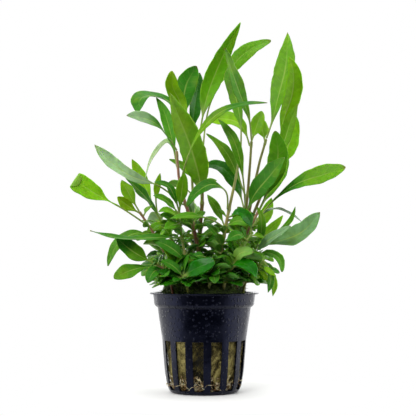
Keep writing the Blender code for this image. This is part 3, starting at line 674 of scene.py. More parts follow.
        skin.values["tint"] = at_points(np.broadcast_to(along_colour[None, :, None], (*shape, 3)))
        return skin

    def folded_over(self, points: Array, tip: Array, along: Array, normal: Array) -> Array:
        """Fold the blade's end over on its upper side, round a straight line square to the midrib.

        Beyond the line, a distance d turns through d / r, up to half a turn, and then runs back. A point is
        sin(turn) r less what is past the half turn along the midrib, and r (1 - cos(turn)) above the blade.

        Args:
            points: The blade's points.
            tip: The tip.
            along: The midrib's direction there.
            normal: The upper side's normal there.

        Returns:
            The points, folded.
        """
        bend = 0.3
        away = points - (tip - self.crease * along)
        beyond, above = away @ along, away @ normal
        turn = np.clip(beyond / bend, 0, math.pi)
        forward = np.where(beyond > 0, bend * np.sin(turn) - np.maximum(0, beyond - math.pi * bend), beyond)
        forward = forward - above * np.sin(turn)
        upward = bend * (1 - np.cos(turn)) + above * np.cos(turn)
        return points + (forward - beyond)[:, None] * along + (upward - above)[:, None] * normal


@dataclass
class Pairs:
    """Opposite pairs of small leaves, each turned a quarter on the last.

    They go from the first to the last place up the stalk. bearing is the first pair's, in degrees.
    """

    stalk: str
    first: float
    last: float
    count: int
    length: float
    width: float
    bearing: float

    def candidates(self, stalk: Stalk) -> Iterator[list[tuple[list[Array], Leaf]]]:
        """Give, for each leaf of each pair, the ways it may turn.

        Args:
            stalk: The stalk that they grow on.

        Yields:
            The ways, each as a line and the leaf on it.
        """
        for i in range(2 * self.count):
            pair = i // 2
            share = min(TOP_JOINT, self.first + (self.last - self.first) * pair / (self.count - 1))
            shrink = 1 - 0.35 * pair / self.count
            bearing = self.bearing + 90 * pair + 180 * i
            yield [self.turned_leaf(stalk, share, shrink, bearing + turn) for turn in TURNS_TRIED]

    def turned_leaf(self, stalk: Stalk, share: float, shrink: float,
                    bearing: float) -> tuple[list[Array], Leaf]:
        """Lay a leaf that stands out from its stalk, bends up along it and rolls to one side.

        Args:
            stalk: The stalk.
            share: How far up it the leaf sits.
            shrink: The leaf's size against the largest.
            bearing: Its bearing round the stalk, in degrees.

        Returns:
            Its line and the leaf.
        """
        centre, axis = stalk.place(share), stalk.direction(share)
        side = across(axis, (1, 0.2, 0))
        angle = math.radians(bearing)
        out = math.cos(angle) * side + math.sin(angle) * np.cross(axis, side)
        length = self.length * shrink
        middle = centre + length * (0.42 * out + 0.36 * axis)
        line = [centre, middle, centre + length * (0.88 * out + 0.48 * axis)]
        face = axis - 0.4 * out + PAIR_ROLL * np.cross(out, axis)
        # Painted shade and light: leaves low and near the middle take a darker shade, those higher or further
        # out a lighter one.
        light = centre[2] + 1.2 * abs(centre[0])
        shade = Shade.FOREST if light < 76 else Shade.MEADOW if light < 97 else Shade.FRESH
        return line, Leaf(self.stalk, share, (), self.width * shrink, tuple(face), petiole=PAIR_PETIOLE,
                          shade=shade)


# Stalks: sighted points from the root up, as x, depth and z, then the radius at the root and at the top.
STALKS: dict[str, Stalk] = {
    "stem_centre": Stalk(((-1, 3, 42), (-2, 2.5, 65), (-2.3, 2, 80), (-0.9, 3, 97), (-1.3, 4, 114),
        (-2.4, 5, 130)), 1.4, 0.6, Bark.BROWN),
    "stem_back_left": Stalk(((-5, 11, 42), (-6, 12, 70), (-5.5, 12, 90), (-6.2, 12, 107), (-7.2, 12, 122),
        (-8.6, 11, 134)), 1.0, 0.55),
    "stem_left_upright": Stalk(((-3, -6, 42), (-2.7, -7, 70), (-4.2, -8, 78), (-7.2, -8, 89),
        (-10.4, -8, 97), (-13, -8, 109), (-14, -8, 122)), 1.2, 0.6, Bark.PINK),
    "stem_left_pale": Stalk(((-8, -11, 42), (-9.3, -12, 67), (-10.4, -12, 73.5), (-12, -12, 81),
        (-12.6, -12, 91)), 0.9, 0.5),
    "stem_left_inner": Stalk(((-10, 2, 42), (-11, 2, 62), (-13.4, 2, 69.5), (-18, 3, 80), (-22, 4, 86),
        (-25, 4, 91)), 0.9, 0.55),
    "stem_left_outer": Stalk(((-14, -4, 42), (-16, -5, 62), (-20, -6, 70), (-24, -7, 77), (-28.5, -8, 85),
        (-33, -8, 91)), 0.9, 0.55, Bark.PINK),
    "stem_centre_right": Stalk(((7, -9, 42), (8.3, -10, 61), (8.5, -10, 70), (10.8, -10, 83),
        (14.3, -10, 100), (16.5, -10, 110), (18.6, -10, 122)), 1.05, 0.6, Bark.OLIVE),
    "stem_right_inner": Stalk(((9, 3, 42), (12.5, 1, 62), (17.5, -2, 75), (20.6, -3, 88), (22.7, -3, 108),
        (24, -3, 127)), 1.1, 0.6, Bark.BROWN),
    "stem_right_tall": Stalk(((13.5, -3, 42), (16.5, 0, 64), (20.5, 2, 80), (24, 3, 97), (27.5, 4, 114),
        (31.6, 4, 128)), 1.1, 0.6, Bark.BROWN),
    "stem_right_back": Stalk(((11, 9, 42), (15, 10, 60), (21, 11, 80), (28, 11, 97), (34, 9, 112),
        (38, 6, 124)), 1.1, 0.6, Bark.BROWN),
    "stem_right_low": Stalk(((15, -9, 42), (17.5, -10, 62), (19.5, -10, 73), (23.5, -9, 84), (28, -8, 92)),
        1.0, 0.6, Bark.PINK),
    "shoot_front_left": Stalk(((-6, -15, 42), (-7.5, -18, 51), (-10.5, -22, 58)), 0.7, 0.5),
    "shoot_front_mid": Stalk(((1.5, -15, 42), (2.5, -18, 52), (3, -20, 60), (2, -20, 67)), 0.7, 0.4),
    "shoot_front_right": Stalk(((9, -14, 42), (10.2, -17, 56), (14.5, -20, 62.5), (19, -21, 72),
        (24, -21, 79.5)), 0.8, 0.5),
    "shoot_right": Stalk(((16.5, 2, 42), (20, 2, 56), (23, 0, 66), (26.5, -3, 73)), 0.8, 0.5),
    "shoot_right_trailing": Stalk(((16.8, -4.5, 42), (20, -8, 54), (25, -12, 60), (30, -13, 66)), 0.7, 0.4),
    "shoot_left": Stalk(((-14, -11, 42), (-16.5, -14, 54), (-19.5, -16, 61), (-24, -17, 64)), 0.8, 0.5,
        Bark.PINK),
    "shoot_back_left": Stalk(((-9, 14, 42), (-12, 18, 54), (-17, 23, 64), (-22, 26, 76)), 0.8, 0.45),
    "shoot_back_right": Stalk(((4, 15, 42), (6, 20, 54), (10, 25, 66), (15, 28, 78)), 0.8, 0.45),
}

# Large leaves, each a piece of its own: stalk, share up it, sighted points to the tip, width, facings.
LEAVES: dict[str, Leaf] = {
    "leaf_spear": Leaf("stem_centre", 1.0, ((1.4, 3, 149), (8.8, -3, 168.5), (18.6, -10, 187.3)), 9.6,
        (-0.8, -0.8, 0), tip_face=(0.6, -0.8, 0.1), belly=0.6, seen_belly=0.4, shade=Shade.FRESH),
    "leaf_upper_right": Leaf("stem_centre", 0.9, ((3.5, 12, 147), (12.5, 20, 162.5), (22, 27, 172.6),
        (34, 32, 178)), 8.6, (0.4, -0.9, 0.1), tip_face=(0.3, -0.7, 0.6), petiole=0.42, belly=0.62,
        blunt=0.6, shade=Shade.FRESH),
    "leaf_centre_front": Leaf("stem_right_inner", 1.0, ((22.6, -6, 139), (18, -11, 151), (14.2, -16, 162),
        (10.4, -22, 174.5)), 8.2, (0.5, -0.9, 0.1), tip_face=(0.5, -0.8, 0.3)),
    "leaf_centre_behind": Leaf("stem_centre_right", 1.0, ((18.6, -5, 134), (17, 2, 145), (13.5, 9, 158),
        (9.5, 16, 171)), 8.6, (-0.6, -0.9, 0), tip_face=(-0.6, -0.7, 0)),
    "leaf_tall_right": Leaf("stem_right_tall", 1.0, ((34.3, 5, 136), (37.3, 8, 148), (41.5, 13, 165),
        (42.2, 20, 182.3)), 11.6, (-0.5, -0.9, 0), tip_face=(-0.4, -0.9, 0), petiole=0.06,
        shade=Shade.FRESH),
    "leaf_tall_right_front": Leaf("stem_right_back", 1.0, ((40.5, -3, 138), (44.8, -8, 151),
        (45.4, -12, 162), (43, -14, 170)), 10.0, (0.5, -0.9, 0), tip_face=(0.4, -0.9, 0.1), petiole=0.08,
        shade=Shade.LIME),
    "leaf_tall_right_low": Leaf("stem_right_back", 0.92, ((40.5, -6, 126), (44, -9, 137),
        (47.6, -11, 145.7)), 7.0, (-0.3, -0.9, 0.2), tip_face=(-0.4, -0.8, 0.2), petiole=0.1,
        shade=Shade.FRESH),
    "leaf_lobe_right": Leaf("stem_right_back", 0.8, ((38.6, 11, 116), (43.6, 14, 127), (46.6, 17, 139.5)),
        9.6, (0.3, -1, 0), petiole=0.1, shade=Shade.LIME),
    "leaf_round_right": Leaf("stem_right_low", 1.0, ((34, -13, 106), (37.4, -17, 119), (36, -20, 132)),
        10.4, (0.3, -1, 0.1), tip_face=(0, -1, 0.2), petiole=0.1, blunt=0.6),
    "leaf_broad_right": Leaf("stem_right_inner", 0.55, ((25, -12, 98.5), (33.5, -20, 109),
        (41, -26, 118.4)), 11.0, (-0.3, -0.9, 0.4), tip_face=(-0.2, -0.9, 0.4), petiole=0.04, belly=0.6,
        blunt=0.65, shade=Shade.FOREST),
    "leaf_long_right": Leaf("stem_right_low", 0.9, ((33, -4, 101), (38.4, 0, 112), (42.2, 5, 123)), 9.6,
        (-0.5, -0.8, 0.2), tip_face=(-0.4, -0.9, 0.2), petiole=0.15, shade=Shade.FRESH),
    # Its inner half is drawn forest green as a painted shadow, and its outer half fresh.
    "leaf_wing_right": Leaf("stem_right_low", 0.82, ((37.5, -12, 98.6), (49.5, -17, 106),
        (60.5, -21, 109.4), (72, -24, 113.4)), 9.6, (-0.2, -0.85, 0.5), tip_face=(0, -0.9, 0.5),
        petiole=0.2, blunt=0.55, belly=0.6, seen_belly=0.7, breadth=1.12, shade=Shade.FOREST,
        tip_shade=Shade.FRESH),
    "leaf_grey_right": Leaf("shoot_right", 1.0, ((37, -7, 75.6), (48.5, -12, 79.8), (58.8, -16, 90.6)),
        10.0, (-0.1, -0.8, 0.6), tip_face=(-0.2, -0.85, 0.5), petiole=0.08, blunt=0.6, shade=Shade.SILVER),
    "leaf_grey_inner": Leaf("shoot_right", 0.8, ((29, -10, 73.5), (36, -16, 78.5), (44, -21, 83.5)), 7.0,
        (-0.1, -0.8, 0.6), petiole=0.15, shade=Shade.SILVER),
    "leaf_arch_right": Leaf("stem_right_low", 0.7, ((30, -6, 90), (36, -2, 92.4), (44, 2, 89.5),
        (51, 5, 84)), 6.0, (0, -0.1, 1), tip_face=(0.3, -0.2, 1), petiole=0.25, shade=Shade.DEEP),
    "leaf_pale_left": Leaf("stem_left_upright", 0.66, ((-23.4, -13, 104), (-36, -20, 108.2),
        (-47.2, -25, 115.8), (-55.8, -29, 125)), 9.0, (0.2, -0.8, 0.6), tip_face=(0.3, -0.8, 0.5),
        petiole=0.26, breadth=0.95, shade=Shade.SILVER, tip_shade=Shade.PALE),
    "leaf_folded_left": Leaf("stem_left_outer", 0.88, ((-42.8, -12, 93.2), (-55.4, -14, 100),
        (-68, -15, 108.4)), 9.8, (0.2, -0.9, 0.4), petiole=0.3, belly=0.7, blunt=0.4,
        seen_belly=0.72, breadth=1.08, crease=4.0, shade=Shade.LIME),
    "leaf_lime_left": Leaf("stem_left_outer", 1.0, ((-37.4, -6, 98.5), (-42, -3, 106.8)), 6.5,
        (0.2, -1, 0.1), petiole=0.1, shade=Shade.LIME),
    "leaf_lime_behind": Leaf("stem_left_inner", 1.0, ((-28, 5, 99.2), (-32.2, 7, 108), (-36.8, 8, 117.6)),
        6.4, (0.3, -1, 0), petiole=0.12, shade=Shade.LIME),
    "leaf_dark_left": Leaf("stem_left_inner", 0.86, ((-28.5, 0, 96.5), (-34, -2, 102.5), (-40, -4, 108.4)),
        6.5, (0.3, -0.6, 0.7), petiole=0.1, shade=Shade.FOREST),
    "leaf_thread_left": Leaf("stem_left_upright", 0.8, ((-19.6, 2, 126.6), (-26, 4, 119), (-30.4, 5, 105)),
        3.6, (-0.6, -0.5, 0.6), tip_face=(-0.8, -0.5, 0.2), petiole=0.2, shade=Shade.PALE),
    "leaf_flat_left": Leaf("stem_left_upright", 0.28, ((-11, -14, 76.6), (-24, -20, 77.6), (-40, -25, 77),
        (-57.9, -28, 81.2)), 8.5, (0.3, -0.2, 1), tip_face=(0.1, -0.5, 0.9), petiole=0.2,
        breadth=0.78, shade=Shade.FOREST),
    # Its outer half is drawn deep green as painted shade, where another leaf lies over it.
    "leaf_low_left": Leaf("shoot_left", 1.0, ((-30, -19, 67), (-38, -21, 72), (-44.5, -22, 77.8)), 9.0,
        (0.2, -0.9, 0.5), tip_face=(0.2, -0.9, 0.4), petiole=0.08, blunt=0.65, shade=Shade.FRESH,
        tip_shade=Shade.DEEP),
    "leaf_drooping_left": Leaf("stem_left_outer", 0.66, ((-33, -12, 80), (-43.4, -14, 74.6),
        (-48.8, -15, 63)), 6.5, (-0.2, -0.8, 0.6), tip_face=(-0.6, -0.8, 0.1), petiole=0.12),
    "leaf_paddle_left": Leaf("shoot_left", 0.85, ((-28, -17, 62.6), (-37, -21, 61), (-45.8, -24, 57)), 7.6,
        (0, -0.8, 0.6), tip_face=(0, -0.9, 0.4), petiole=0.15, belly=0.65, blunt=0.6),
    "leaf_hook_left": Leaf("stem_back_left", 0.9, ((-15.5, 12, 145), (-25, 4, 149.4), (-32, -4, 148.4),
        (-33.6, -9, 140.4)), 8.0, (-0.1, -0.5, 0.8), tip_face=(-0.6, -0.9, 0.1), petiole=0.15, belly=0.68,
        breadth=1.45, shade=Shade.FOREST),
    "leaf_curl_left": Leaf("stem_left_upright", 1.0, ((-18.6, -13, 129), (-24.5, -18, 135.4),
        (-31.5, -22, 138.4), (-39.6, -26, 139.6)), 7.0, (0.3, -0.6, 0.7), tip_face=(0, -0.8, 0.6),
        petiole=0.1, breadth=1.25, seen_belly=0.68, shade=Shade.FOREST, tip_shade=Shade.SILVER),
    "leaf_mid_left": Leaf("stem_left_upright", 0.9, ((-17.2, -3, 131), (-21, -1, 143), (-24.6, 0, 149)),
        6.0, (0.1, -1, 0), tip_face=(0.1, -1, 0.2), petiole=0.12),
    "leaf_broad_centre": Leaf("stem_centre", 0.6, ((-2.5, -7, 108), (-7.2, -12, 124), (-12.5, -18, 138),
        (-17.8, -24, 151.5)), 14.5, (0.4, -1, 0.1), petiole=0.08, seen_belly=0.45, shade=Shade.FRESH),
    "leaf_lime_top": Leaf("stem_back_left", 0.94, ((-12.5, 5, 147), (-16, 0, 154.5), (-16.2, -5, 162.5)),
        8.6, (-0.4, -1, 0), petiole=0.12, blunt=0.5, shade=Shade.LIME),
    "leaf_cupped_top": Leaf("stem_back_left", 1.0, ((-10.6, 14, 146), (-9, 17, 156), (-3.6, 20, 164.6)),
        10.6, (0.4, -1, 0.1), petiole=0.1, blunt=0.5, shade=Shade.FOREST),
    "leaf_dark_top": Leaf("stem_back_left", 0.88, ((-5, 17, 143), (-3.6, 22, 152), (-2.2, 28, 161.5)), 8.6,
        (0.5, -1, 0), petiole=0.15, blunt=0.6, shade=Shade.DEEP),
    "leaf_sash": Leaf("stem_left_upright", 0.8, ((-9, -18, 116.5), (-3.5, -22, 129), (9, -25, 141.7),
        (20, -25, 145.4), (32.4, -23, 146.1)), 5.0, (-0.5, -0.7, 0.5), tip_face=(0, -0.6, 0.8), petiole=0.2,
        shade=Shade.FRESH, tip_shade=Shade.FOREST),
    "leaf_behind_centre": Leaf("stem_right_inner", 0.97, ((17, 5, 136), (8, 9, 138), (-0.5, 11, 136.5)),
        8.5, (0, -0.85, 0.5), tip_face=(0, -0.9, 0.4), petiole=0.1, shade=Shade.LIME),
    "leaf_strap_centre": Leaf("stem_right_inner", 0.6, ((20, -13, 105), (18.6, -16, 115), (14.6, -16, 128),
        (7, -13, 138)), 5.2, (-0.3, -0.8, 0.5), petiole=0.3),
    "leaf_long_centre": Leaf("stem_right_inner", 0.68, ((16.5, 0, 110), (11, 1, 121), (0.9, 0, 130.5)), 5.6,
        (-0.2, -0.8, 0.6), petiole=0.1),
    "leaf_dark_arch": Leaf("stem_right_inner", 0.6, ((16.2, 3, 104), (9, 7, 113.2), (2.4, 10, 114.2),
        (-1, 12, 111)), 8.5, (-0.1, -0.6, 0.8), tip_face=(-0.3, -0.5, 0.8), petiole=0.08,
        shade=Shade.DEEP),
    "leaf_arch_centre": Leaf("stem_centre_right", 0.62, ((10.6, -15, 101.5), (3.5, -19, 104.5),
        (-3, -21, 101), (-9, -21, 93)), 7.5, (-0.1, -0.75, 0.7), tip_face=(-0.5, -0.8, 0.3), petiole=0.25,
        shade=Shade.FOREST),
}

# Small leaves set one by one.
SMALL_LEAVES: tuple[Leaf, ...] = (
    Leaf("stem_left_outer", 0.97, ((-39, -9.5, 94), (-44, -12, 98.4)), 6.0, (0.2, -1, 0.2),
         shade=Shade.LIME),
    Leaf("stem_left_pale", 0.99, ((-11.5, -17, 100), (-10, -20, 111)), 6.0, (0.2, -1, 0), petiole=0.08,
         shade=Shade.FRESH),
    Leaf("stem_left_pale", 0.82, ((-18, -17, 88), (-22.4, -20, 89)), 6.0, (0, -0.8, 0.6)),
    Leaf("stem_left_pale", 0.86, ((-16, -20, 84), (-20.2, -24, 82)), 5.5, (0, -0.9, 0.5)),
    Leaf("stem_left_inner", 0.6, ((-22, -3, 83), (-29, -6, 80.5)), 7.0, (0, -0.8, 0.6),
         tip_face=(-0.2, -0.9, 0.4), blunt=0.6, shade=Shade.FRESH),
    Leaf("stem_left_inner", 0.8, ((-24, 9, 86), (-27.5, 13, 90)), 8.0, (0, -1, 0.2), blunt=0.6,
         shade=Shade.SILVER),
    Leaf("stem_centre_right", 0.5, ((4, -15, 86.5), (-4.5, -20, 88.6), (-18, -25, 87)), 5.5, (0, -0.6, 0.8),
         petiole=0.4),
    Leaf("stem_centre_right", 0.5, ((6.5, -7, 92), (1.5, -5, 99.5)), 4.5, (-0.3, -0.9, 0.3),
         shade=Shade.FRESH),
    Leaf("stem_centre_right", 0.5, ((17, -15, 86), (24, -16, 84)), 6.5, (0, -0.8, 0.6),
         tip_face=(0, -0.9, 0.4)),
    Leaf("stem_right_tall", 0.97, ((29, 9, 133), (25.4, 12, 138.5)), 8.0, (0.2, -0.9, 0.3),
         shade=Shade.LIME),
    Leaf("stem_right_inner", 0.99, ((26.5, 2, 134), (29.4, 4, 142)), 7.0, (0, -1, 0.2), blunt=0.6,
         shade=Shade.LIME),
    Leaf("stem_right_back", 0.45, ((31, 17, 89), (34, 20, 98)), 6.5, (0, -1, 0.1), shade=Shade.LIME),
    Leaf("stem_right_back", 0.3, ((34, 18, 82), (40, 22, 89)), 5.5, (0, -0.9, 0.4), shade=Shade.LIME),
    Leaf("shoot_front_left", 0.99, ((-3, -26, 62.5), (5.6, -27, 65.4)), 7.6, (0, -0.9, 0.5),
         tip_face=(-0.2, -0.9, 0.5), blunt=0.5, petiole=0.05, oval=True, shown=True,
         breadth=1.15, shade=Shade.GLOSSY),
    Leaf("shoot_front_left", 0.9, ((-17, -24, 64), (-22, -24, 66)), 6.0, (0, -0.6, 0.8),
         tip_face=(0, -0.7, 0.7), blunt=0.6, shade=Shade.FOREST),
    Leaf("shoot_front_mid", 0.7, ((5, -25, 58), (5.6, -28, 54.5)), 5.5, (0, -1, 0.4), tip_face=(0, -1, 0.2),
         blunt=0.6, shade=Shade.FOREST),
    Leaf("shoot_front_mid", 0.99, ((-2, -23, 68.5), (-7, -24, 67)), 4.5, (0, -0.7, 0.7),
         tip_face=(0, -0.8, 0.6), blunt=0.6, shade=Shade.FOREST),
    Leaf("shoot_front_right", 0.58, ((18.5, -25, 69.8), (25, -27, 70.2)), 6.4, (0, -0.9, 0.5), blunt=0.55,
         oval=True, shown=True, shade=Shade.SAGE),
    Leaf("shoot_front_right", 0.42, ((17, -25, 65), (23.6, -28, 62.5), (26.4, -29, 57)), 7.5,
         (-0.3, -0.1, 1), tip_face=(0.5, -0.9, 0.2), blunt=0.6, breadth=0.93, shade=Shade.GLOSSY),
    Leaf("shoot_front_right", 0.99, ((22.4, -25, 87), (17.5, -27, 90.4), (14, -28, 89)), 6.5,
         (0.3, -0.7, 0.7), tip_face=(-0.3, -0.8, 0.5), petiole=0.1, shade=Shade.GLOSSY),
    Leaf("shoot_front_right", 0.9, ((17, -27, 79), (11.5, -29, 76)), 6.0, (0, -0.8, 0.6),
         tip_face=(-0.3, -0.9, 0.3), shade=Shade.FOREST),
    Leaf("shoot_right", 0.76, ((32, -4, 70), (37.6, -6, 67.4), (39.4, -7, 60)), 5.6, (0.2, -0.8, 0.5),
         tip_face=(0.6, -0.8, 0.2), petiole=0.2, blunt=0.6),
    Leaf("shoot_right_trailing", 0.99, ((33.5, -16, 60), (32.2, -18, 49.6)), 4.0, (0.5, -0.9, 0.2),
         tip_face=(0.3, -1, 0), shade=Shade.FOREST),
    Leaf("shoot_right_trailing", 0.9, ((35, -11, 57), (34.6, -12, 47.8)), 3.6, (0.5, -0.9, 0.2),
         tip_face=(0.3, -1, 0), shade=Shade.LIME),
    Leaf("shoot_left", 0.75, ((-24.5, -21, 61), (-28.6, -24, 54.6)), 7.0, (-0.1, -0.9, 0.5),
         tip_face=(-0.3, -0.9, 0.2), shade=Shade.FOREST),
    Leaf("shoot_left", 0.6, ((-15.5, -19, 69), (-22.5, -21, 75.5)), 8.5, (0.3, -0.8, 0.5),
         shade=Shade.FRESH),
)

# Small leaves by rule: stalk, first and last share, pairs, length, width and first bearing.
PAIRED: tuple[Pairs, ...] = (
    Pairs("shoot_front_left", 0.55, 0.8, 2, 9.0, 4.4, 20),
    Pairs("shoot_front_mid", 0.5, 0.9, 3, 7.5, 3.6, 60),
    Pairs("shoot_front_right", 0.35, 0.8, 3, 8.5, 3.8, 40),
    Pairs("shoot_right", 0.5, 0.95, 3, 9.0, 4.0, 45),
    Pairs("shoot_right_trailing", 0.55, 0.9, 3, 7.5, 2.6, 30),
    Pairs("shoot_left", 0.5, 0.7, 2, 8.5, 4.0, 70),
    Pairs("shoot_back_left", 0.45, 1.0, 3, 18.0, 7.0, 30),
    Pairs("shoot_back_right", 0.45, 1.0, 3, 18.0, 7.0, 75),
    Pairs("stem_centre", 0.2, 0.45, 3, 17.0, 6.8, 30),
    Pairs("stem_back_left", 0.2, 0.62, 4, 20.0, 7.6, 70),
    Pairs("stem_left_upright", 0.22, 0.52, 3, 13.0, 5.4, 15),
    Pairs("stem_left_pale", 0.33, 0.7, 2, 9.0, 4.2, 50),
    Pairs("stem_left_inner", 0.3, 0.7, 3, 13.0, 5.4, 80),
    Pairs("stem_left_outer", 0.3, 0.6, 2, 9.0, 4.4, 35),
    Pairs("stem_centre_right", 0.22, 0.45, 3, 12.0, 5.4, 65),
    Pairs("stem_right_inner", 0.22, 0.46, 3, 14.0, 6.0, 10),
    Pairs("stem_right_tall", 0.2, 0.45, 3, 17.0, 6.8, 55),
    Pairs("stem_right_back", 0.2, 0.5, 3, 17.0, 7.0, 25),
    Pairs("stem_right_low", 0.3, 0.62, 3, 12.0, 5.2, 80),
)

# Slender leaves of the photo that are past the limit of pieces, so they are drawn here only.
SLENDER_LEAVES: tuple[Leaf, ...] = (
    Leaf("stem_left_inner", 0.95, ((-24.5, 2, 97), (-22.3, 1, 110.5)), 3.6, (0.2, -1, 0.1), petiole=0.3,
         shade=Shade.LIME),
    Leaf("stem_centre", 0.68, ((-5, 6, 107.5), (-11, 8, 114), (-18, 9, 117.4)), 5.0, (0.3, -0.8, 0.5),
         shade=Shade.FRESH),
    Leaf("stem_left_pale", 0.98, ((-15, -15, 98), (-18, -16, 103.5), (-25.5, -17, 106)), 4.8,
         (-0.2, -0.7, 0.7), tip_face=(0, -0.6, 0.8), shade=Shade.FOREST),
    Leaf("stem_left_pale", 0.96, ((-17.5, -15, 95), (-22, -17, 98), (-26, -18, 99)), 5.0, (0.2, -0.8, 0.6)),
    Leaf("stem_left_pale", 0.9, ((-15, -18, 89.5), (-19, -20, 91.5), (-23.4, -22, 90.5)), 5.2,
         (0, -0.7, 0.7), shade=Shade.FRESH),
    Leaf("stem_left_pale", 0.42, ((-13, -20, 69.5), (-19.5, -22, 74), (-26.5, -21, 76.5)), 7.0,
         (0.3, -0.8, 0.5), shade=Shade.FOREST),
    Leaf("shoot_right", 0.95, ((29, -14, 82), (29, -16, 88), (26.6, -17, 93.5)), 4.6, (0.3, -0.9, 0.1)),
    Leaf("shoot_right", 0.99, ((36, -10, 80), (43.7, -10, 86.5), (46.2, -10, 93.6)), 2.6, (0.2, -1, 0.1),
         petiole=0.45),
    Leaf("shoot_right_trailing", 0.85, ((30, -16, 62.5), (33, -18, 60.5), (36.5, -19, 58)), 2.8,
         (0.2, -0.9, 0.4), shade=Shade.LIME),
    Leaf("shoot_right_trailing", 0.8, ((29, -15, 60), (31.5, -16, 57), (34, -17, 54.5)), 3.0,
         (0.3, -0.9, 0.3), shade=Shade.LIME),
)

class Room:
    """The air between leaves: points all over each piece set so far, whose they are, and the solids' box."""

    def __init__(self) -> None:
        """Start with no points, in the box that the solids fill."""
        self.points = np.empty((0, 3))
        self.owners = np.empty(0, str)
        self.box = np.array([list(corner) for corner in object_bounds()]) / MM

    def take(self, points: Array, owner: str) -> None:
        """Fill the room at some points.

        Args:
            points: Points over the piece.
            owner: Whose they are.
        """
        self.points = np.vstack((self.points, points))
        self.owners = np.append(self.owners, [owner] * len(points))

    def fits(self, points: Array, stalk_name: str, room: float = ROOM) -> bool:
        """Test whether points keep clear of all but their own stalk, and clear of the moss and the pot.

        Args:
            points: Points over the piece.
            stalk_name: The stalk that it grows on.
            room: How far it keeps from the others.

        Returns:
            Whether it fits.
        """
        low, high = points.min(axis=0) - room, points.max(axis=0) + room
        near = ((self.points >= low) & (self.points <= high)).all(axis=1)
        others = self.points[near][self.owners[near] != stalk_name]
        apart = np.linalg.norm(points[:, None] - others[None], axis=2).min(initial=math.inf)
        over_bed = np.hypot(points[:, 0], points[:, 1]) < LIP_RADIUS + room
        return bool(apart > room and points[over_bed, 2].min(initial=math.inf) > MOSS_TOP + room)


